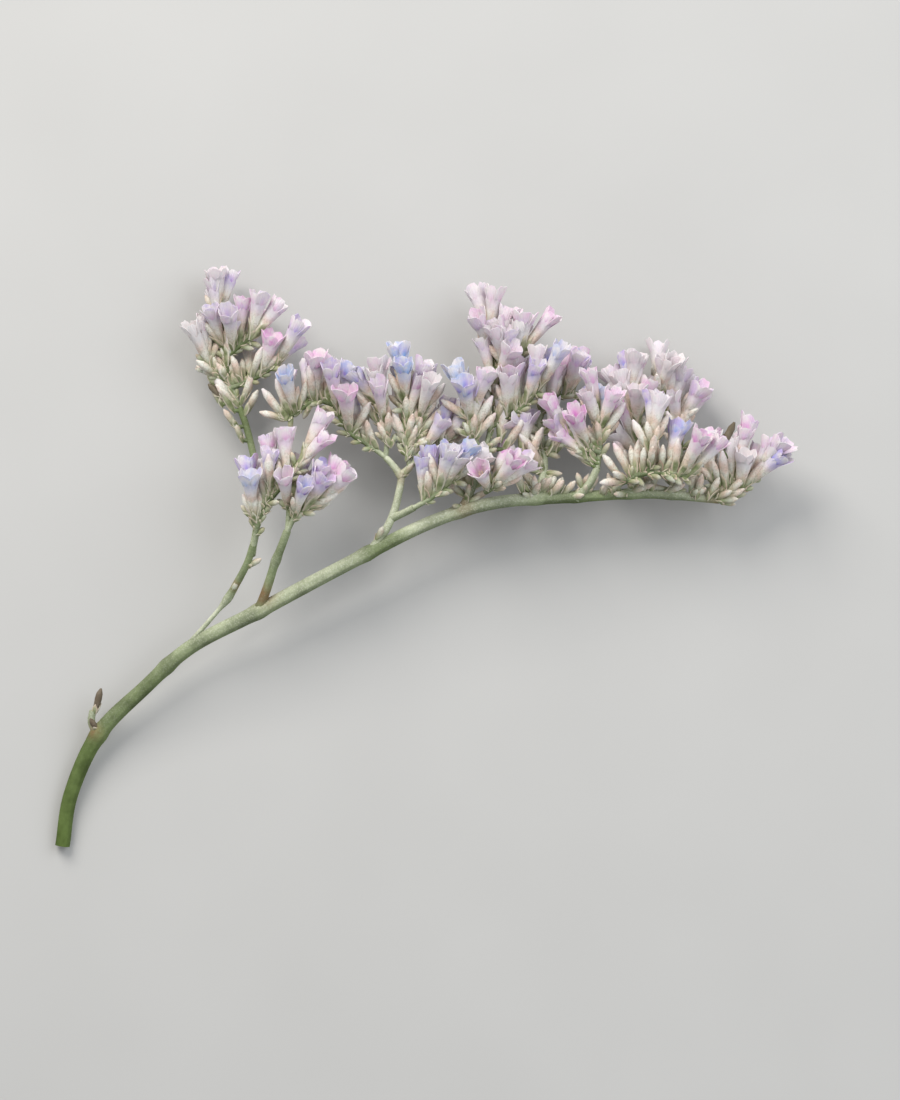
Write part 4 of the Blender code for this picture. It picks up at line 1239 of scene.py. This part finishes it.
def jittered_tint(letter, draw):
    """A letter's hue and depth of colour, each a little off at random."""
    hue, depth = TINT_VALUES[letter]
    return (np.clip(hue + HUE_JITTER * draw.normal(), 0, 1),
            np.clip(depth + DEPTH_JITTER * draw.normal(), 0, 1))


def filling_florets(skin, head, brown, draw):
    """Florets that fill a head out. One whose root is off the twigs gets a thin stalk of its own.

    A small letter stands for an open floret of its colour, a capital one for a closed floret, and
    D for a dry brown bud.
    """
    paths = [smooth_path(twig.points, STEM_STEP) for twig in HEADS[head]]
    places = np.vstack(paths + [stem_places()])
    for root, aim, lift, length, letter in FILLING[head]:
        root, way = np.array(root), direction(aim, lift)
        foot, apart = nearest(places, root)
        if apart > PEDICEL_REACH:
            path = np.linspace(foot, root + PEDICEL_REACH * way, PEDICEL_STEPS)
            add_tube(skin, path, np.full(len(path), PEDICEL_RADIUS), TWIG_COLUMNS, TWIG_BLOOM)
        if letter == "D":
            add_bud(skin, root, way, length, DRY_TINT, brown, draw, "bract")
            continue
        tint = jittered_tint(letter.lower(), draw)
        if letter.islower():
            floret = Floret(head, root, way, length, draw.uniform(0, math.tau), True)
            add_floret(skin, floret, tint, brown, draw)
        else:
            add_bud(skin, root, way, length, tint, brown, draw)


def flower_skin(head, florets, draw):
    """One flower head: its twigs, florets, buds and the small buds between them."""
    skin = Skin()
    brown = BROWN.get(head, USUAL_BROWN)
    add_twigs(skin, HEADS[head], np.array([floret.root for floret in florets]))
    for floret, letter in zip(florets, TINTS[head]):
        tint = jittered_tint(letter, draw)
        if floret.is_open:
            add_floret(skin, floret, tint, brown, draw)
        else:
            add_bud(skin, floret.root, floret.way, floret.length, tint, brown + CLOSED_BROWN, draw)
    filling_florets(skin, head, brown, draw)
    crowding_buds(skin, HEADS[head], florets, brown, draw)
    return skin


def crowding_stem_buds(skin, path, draw):
    """Uneven bunches of small buds along a stalk or the stem, on the side that the flowers grow on.

    Where the path runs more across the branch than along it, they stand to its left or right.
    """
    for way, point in zip(unit(np.gradient(path, axis=0)), path):
        for _ in range(draw.integers(CROWD_COUNT + 1)):
            turn = draw.uniform(*CROWD_ROUND) * math.pi
            side = np.array([0, math.cos(turn), math.sin(turn)])
            if abs(way[1]) > abs(way[0]):
                side = side[[1, 0, 2]] * [draw.choice((-1, 1)), 1, 1]
            aim = way * draw.uniform(*CROWD_FORWARD) + side
            crowding_bud(skin, point, aim, CROWD_ON_STEM, USUAL_BROWN, draw)


def add_main_stem(skin):
    """The main stem, swollen where a side stalk leaves it. Gives its path."""
    path, width = np.split(smooth_path(MAIN_STEM, STEM_STEP), [3], axis=1)
    feet = np.array([points[0] for points in STALKS.values()])
    radius = width[:, 0] / 2 * (1 + JOINT_SWELL * bell(nearest_apart(path, feet), JOINT_REACH))
    bloom = np.interp(np.linspace(0, 1, len(path)), *zip(*STEM_BLOOM_AT))
    add_tube(skin, path, radius, STEM_COLUMNS, bloom, STEM_RIDGES)
    return path


def add_stalk(skin, name, points, main):
    """A side stalk, flared at its foot and, unless it is an even one, with its own girth and bloom."""
    path = smooth_path(points, STEM_STEP)
    on_main = nearest(main, points[0])[1] < JOIN_REACH
    base = STALK_BASE_DIAMETER if on_main else STALK_TIP_DIAMETER
    radius = np.linspace(base, STALK_TIP_DIAMETER, len(path)) / 2
    radius *= 1 + STALK_FLARE * bell(np.linalg.norm(path - path[0], axis=1), STALK_FLARE_REACH)
    share, girth, bloom = zip(*UNEVEN_STALKS.get(name, EVEN_STALK))
    here = np.linspace(0, 1, len(path))
    radius *= np.interp(here, share, girth)
    add_tube(skin, path, radius, STALK_COLUMNS, np.interp(here, share, bloom))


def stem_skin(draw):
    """The main stem, its side stalks, their scale-like bracts and the small buds on them.

    The first bracts are withered: they have the finish of a bract, whose hue is how brown it is.
    """
    skin = Skin()
    main = add_main_stem(skin)
    for name, points in (STALKS | SHORT_STALKS).items():
        add_stalk(skin, name, points, main)
    for index, (spot, aim, lift, length) in enumerate(STEM_BRACTS):
        withered = index < WITHERED_SCALES
        finish, tint = ("bract", WITHERED_TINT) if withered else ("calyx", SCALE_TINT)
        brown = SCALE_BROWNING * tint[0]
        add_bud(skin, np.array(spot), direction(aim, lift), length, tint, brown, draw, finish)
    for name in CROWDED_STALKS:
        crowding_stem_buds(skin, smooth_path(STALKS[name], CROWD_STEP), draw)
    path = smooth_path(MAIN_STEM, CROWD_STEP)[:, :3]
    crowding_stem_buds(skin, path[int(CROWDED_STEM * len(path)):], draw)
    return skin


def feed(tree, socket, value):
    """Joins a socket to another one, or sets its own value."""
    if isinstance(value, bpy.types.NodeSocket):
        tree.links.new(value, socket)
    else:
        socket.default_value = value


def add_node(tree, kind, inputs=None, **settings):
    """Adds a node, sets its properties, and feeds its inputs, each by its name or its place."""
    made = tree.nodes.new(kind)
    for name, value in settings.items():
        setattr(made, name, value)
    for name, value in (inputs or {}).items():
        feed(tree, made.inputs[name], value)
    return made


def mixed(tree, share, one, other):
    """A colour mixed from one to the other by a share."""
    inputs = dict(zip(MIX_INPUTS, (share, one, other)))
    return add_node(tree, "ShaderNodeMix", inputs, data_type="RGBA").outputs[MIX_OUTPUT]


def calculated(tree, operation, *values, clamp=False):
    """The result of an operation on values. With clamp it is kept between 0 and 1."""
    inputs = dict(enumerate(values))
    return add_node(tree, "ShaderNodeMath", inputs, operation=operation, use_clamp=clamp).outputs[0]


def times(tree, one, other, clamp=False):
    """One value times the other."""
    return calculated(tree, "MULTIPLY", one, other, clamp=clamp)


def scaled(tree, value, factor, base, clamp=False):
    """A value times a factor, plus a base."""
    return calculated(tree, "MULTIPLY_ADD", value, factor, base, clamp=clamp)


def faded(tree, value, fade):
    """0 before the fade, 1 past it, and smooth between its two ends. It may run either way."""
    low, high = fade
    made = add_node(tree, "ShaderNodeMapRange", {"Value": value, "From Min": low, "From Max": high},
                    interpolation_type="SMOOTHSTEP")
    return made.outputs["Result"]


def stored(tree, name):
    """A value that the points of a piece store.

    Along runs from 0 at the foot of a part to 1 at its end. Edge runs from 0 in its middle to 1 at
    its sides, or on a calyx from between the ribs to the ribs. Hue is the place on the scale of
    hues, or how brown a bract or the stem is, and depth is that of the colour or of the bloom. On
    stems the bloom carries painted shade: it is thinner on the side away from the key light.
    """
    return add_node(tree, "ShaderNodeAttribute", attribute_name=name).outputs["Fac"]


def noise_at(tree, **inputs):
    """Noise on Object coordinates, from 0 to 1."""
    place = add_node(tree, "ShaderNodeTexCoord").outputs["Object"]
    return add_node(tree, "ShaderNodeTexNoise", {"Vector": place, **inputs}).outputs["Fac"]


def new_group(name, inputs, outputs):
    """A node group with named sockets, each a name and a kind of value."""
    tree = bpy.data.node_groups.new(name, "ShaderNodeTree")
    for label, kind in inputs.items():
        tree.interface.new_socket(label, in_out="INPUT", socket_type=kind)
    for label, kind in outputs.items():
        tree.interface.new_socket(label, in_out="OUTPUT", socket_type=kind)
    return tree, tree.nodes.new("NodeGroupInput").outputs, tree.nodes.new("NodeGroupOutput").inputs


def mottle_group():
    """Two sizes of noise on Object coordinates: a coarse one for colour and a fine one for relief."""
    tree, given, result = new_group("mottle", {"Coarse": "NodeSocketFloat", "Fine": "NodeSocketFloat"},
                                    {"Patches": "NodeSocketFloat", "Grain": "NodeSocketFloat"})
    coarse = noise_at(tree, Scale=given["Coarse"], Detail=COARSE_DETAIL)
    fine = noise_at(tree, Scale=given["Fine"], Detail=FINE_DETAIL, Roughness=FINE_ROUGHNESS)
    feed(tree, result["Patches"], faded(tree, coarse, PATCH_FADE))
    feed(tree, result["Grain"], fine)


def hue_group():
    """The colour at a place on the scale of hues, from sky blue through violet to magenta."""
    tree, given, result = new_group("petal_hues", {"Hue": "NodeSocketFloat"},
                                    {"Color": "NodeSocketColor"})
    ramp = add_node(tree, "ShaderNodeValToRGB", {"Fac": given["Hue"]})
    stops = ramp.color_ramp.elements
    for place, _ in HUES[len(stops):]:
        stops.new(place)
    for stop, (place, colour) in zip(stops, HUES):
        stop.position = place
        stop.color = (*colour, 1)
    feed(tree, result["Color"], ramp.outputs["Color"])


def placed_group(tree, group, **inputs):
    """The outputs of a node group, placed with its own values."""
    return add_node(tree, "ShaderNodeGroup", inputs, node_tree=bpy.data.node_groups[group]).outputs


def petal_colours(tree, noise):
    """Petals: pale at the rim, with colour in patches that pools in the throat and along the middle."""
    along, edge = stored(tree, "along"), stored(tree, "edge")
    broad = placed_group(tree, "mottle", Coarse=HUE_COARSE, Fine=FINISHES["petal"].fine)
    hue = scaled(tree, broad["Patches"], HUE_SPREAD, stored(tree, "hue"))
    hue = calculated(tree, "SUBTRACT", hue, HUE_SPREAD / 2, clamp=True)
    tint = placed_group(tree, "petal_hues", Hue=hue)["Color"]
    throat = times(tree, faded(tree, along, THROAT_COMES), faded(tree, along, THROAT_GOES))
    middle = scaled(tree, faded(tree, edge, MIDDLE_FADE), MIDDLE_SHARE, 1 - MIDDLE_SHARE)
    patches = scaled(tree, noise["Patches"], PATCH_DEPTH, PETAL_WASH)
    most = calculated(tree, "MAXIMUM", times(tree, throat, middle), patches)
    amount = times(tree, most, stored(tree, "depth"), clamp=True)
    pale = mixed(tree, faded(tree, along, WHITE_FADE), PETAL_CREAM, PETAL_WHITE)
    veins = calculated(tree, "SINE", times(tree, edge, VEINS))
    return mixed(tree, amount, pale, tint), scaled(tree, veins, VEIN_RELIEF, noise["Grain"])


def calyx_colours(tree, noise):
    """Calyx: cream to peach and dusty, green at its foot and ribs, with colour washed in at its lip."""
    along, edge = stored(tree, "along"), stored(tree, "edge")
    tint = placed_group(tree, "petal_hues", Hue=stored(tree, "hue"))["Color"]
    warm = mixed(tree, times(tree, noise["Patches"], PEACH_SHARE), CALYX_CREAM, CALYX_PEACH)
    foot = mixed(tree, faded(tree, along, GREEN_FADE), CALYX_GREEN, warm)
    pale = mixed(tree, faded(tree, along, LIP_FADE), foot, PETAL_WHITE)
    ribs = times(tree, faded(tree, edge, RIB_ACROSS), faded(tree, along, RIB_ALONG))
    ribbed = mixed(tree, times(tree, ribs, RIB_SHARE), pale, CALYX_RIB_GREEN)
    dust = times(tree, faded(tree, noise["Grain"], DUST_GRAIN), faded(tree, along, DUST_ALONG))
    dusty = mixed(tree, times(tree, dust, DUST_SHARE), ribbed, CALYX_DUST)
    lip = times(tree, faded(tree, along, WASH_ALONG), stored(tree, "depth"))
    wash = times(tree, lip, scaled(tree, noise["Patches"], WASH_PATCHES, WASH_LEAST))
    return mixed(tree, wash, dusty, tint), noise["Grain"]


def bract_colours(tree, noise):
    """Bracts: a green keel with thin margins and tip, pale to peach, and all brown with age."""
    along, edge, brown = (stored(tree, name) for name in ("along", "edge", "hue"))
    green = mixed(tree, noise["Patches"], BRACT_GREEN, BRACT_SAGE)
    peach = scaled(tree, noise["Patches"], MARGIN_PATCHES, brown, clamp=True)
    rim = mixed(tree, peach, BRACT_PALE, BRACT_PEACH)
    margin = calculated(tree, "MAXIMUM", faded(tree, edge, MARGIN_ACROSS),
                        faded(tree, along, MARGIN_ALONG))
    aged = times(tree, faded(tree, brown, AGED_FADE), AGED_SHARE)
    return mixed(tree, aged, mixed(tree, margin, green, rim), BRACT_BROWN), noise["Grain"]


def stem_colours(tree, noise):
    """Stem: dull green with pale bloom, dark and salty specks, and brown where it is blushed. Bloom
    and salt carry painted shade: they are thinner on the side away from the key light.
    """
    depth = stored(tree, "depth")
    broad = placed_group(tree, "mottle", Coarse=STEM_COARSE, Fine=STEM_FINE)["Patches"]
    green = mixed(tree, broad, STEM_DARK, STEM_GREEN)
    # The stored depth carries painted shade: bloom and salt are thinner on the side away from the key
    # light
    bloom = times(tree, depth, scaled(tree, broad, BLOOM_PATCHES, BLOOM_EVEN))
    pale = mixed(tree, bloom, green, STEM_BLOOM)
    speckled = mixed(tree, times(tree, noise["Patches"], SPECK_SHARE), pale, STEM_DARK)
    salt = times(tree, faded(tree, noise["Grain"], SALT_FADE), depth)
    salted = mixed(tree, times(tree, salt, SALT_SHARE, clamp=True), speckled, STEM_SALT)
    uneven = scaled(tree, noise["Patches"], BLUSH_PATCHES, 1 - BLUSH_PATCHES)
    blush = times(tree, stored(tree, "hue"), uneven, clamp=True)
    return mixed(tree, blush, salted, STEM_BROWN), noise["Grain"]


def anther_colours(tree, noise):
    """Anthers: cream yellow with a dusty grain."""
    return mixed(tree, noise["Patches"], ANTHER_CREAM, ANTHER_GOLD), noise["Grain"]


def new_material(name):
    """A material with its node tree and its Principled shader."""
    made = bpy.data.materials.new(name)
    made.use_nodes = True
    return made, made.node_tree, made.node_tree.nodes["Principled BSDF"]


def make_material(name, finish, colours):
    """A thin, dry, papery material of a finish, with the colour and the relief that colours gives."""
    made, tree, shader = new_material(name)
    noise = placed_group(tree, "mottle", Coarse=finish.coarse, Fine=finish.fine)
    colour, height = colours(tree, noise)
    bump = add_node(tree, "ShaderNodeBump", {"Height": height, "Strength": finish.strength,
                                             "Distance": finish.relief * MM})
    shader_values = {
        "Base Color": colour,
        "Normal": bump.outputs["Normal"],
        "Roughness": finish.roughness,
        "Subsurface Weight": finish.translucence,
        "Subsurface Radius": SCATTER_COLOURS,
        "Subsurface Scale": SCATTER * MM,
        "Specular IOR Level": finish.shine,
    }
    for socket, value in shader_values.items():
        feed(tree, shader.inputs[socket], value)
    return made


def make_materials():
    """The material of each finish, after the node groups that they share."""
    mottle_group()
    hue_group()
    looks = {
        "petal": ("papery_petals", petal_colours),
        "calyx": ("ribbed_calyx", calyx_colours),
        "bract": ("dry_bracts", bract_colours),
        "stem": ("dried_stem", stem_colours),
        "anther": ("anthers", anther_colours),
    }
    return {finish: make_material(name, FINISHES[finish], colours)
            for finish, (name, colours) in looks.items()}


def make_floor():
    """A pale level surface that the branch lies on, with the faintest of mottling."""
    made, tree, shader = new_material("pale_surface")
    colour = mixed(tree, noise_at(tree, Scale=FLOOR_MOTTLE), FLOOR_LOW, FLOOR_HIGH)
    feed(tree, shader.inputs["Base Color"], colour)
    feed(tree, shader.inputs["Roughness"], FLOOR_ROUGHNESS)
    mesh = bpy.data.meshes.new("floor")
    half = FLOOR_WIDTH / 2
    corners = [(x * half, y * half, FLOOR_HEIGHT) for x, y in ((-1, -1), (1, -1), (1, 1), (-1, 1))]
    mesh.from_pydata(corners, [], [(0, 1, 2, 3)])
    mesh.materials.append(made)
    floor = in_scene("floor", mesh)


def make_lamps():
    """Soft square lamps that face the middle of the branch."""
    for name, lamp in LAMPS.items():
        light = bpy.data.lights.new(name, "AREA")
        light.size = lamp.width
        light.energy = lamp.power
        light.color = lamp.colour
        made = in_scene(name, light)
        made.location = lamp.place
        made.rotation_euler = (-made.location).to_track_quat("-Z", "Y").to_euler()


def make_world():
    """An even sky all round."""
    world = bpy.data.worlds.new("studio")
    world.use_nodes = True
    sky = world.node_tree.nodes["Background"]
    sky.inputs["Color"].default_value = SKY
    sky.inputs["Strength"].default_value = SKY_STRENGTH
    bpy.context.scene.world = world


def make_camera():
    """A long lens straight above, as high as the picture's height at the branch's middle asks."""
    camera = bpy.data.cameras.new("camera")
    camera.lens = LENS
    camera.sensor_width = SENSOR
    camera.clip_start = CLIP_START
    made = in_scene("camera", camera)
    x, y = np.subtract(VIEW_CENTRE, BOX_CENTRE) * MM
    made.location = (x, y, (FOCUS_HEIGHT + VIEW_HEIGHT * LENS / SENSOR) * MM)
    bpy.context.scene.camera = made


def set_view():
    """Shows the colours as they are, without a film curve."""
    bpy.context.scene.view_settings.view_transform = "Standard"


def dress():
    """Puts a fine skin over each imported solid, and names what it stands for."""
    materials = make_materials()
    florets = nudge_apart(plant_florets())
    draw = np.random.default_rng(LOOK_SEED)
    for head in HEADS:
        own = [floret for floret in florets if floret.head == head]
        flowers = flower_skin(head, own, draw).piece(head.replace("flower_head", "florets"), materials)
        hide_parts(head)
        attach(flowers, "root")
    stem = stem_skin(draw).piece("branching_stem", materials)
    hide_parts("stem")
    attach(stem, "root")


dress()
make_floor()
make_world()
make_lamps()
make_camera()
set_view()
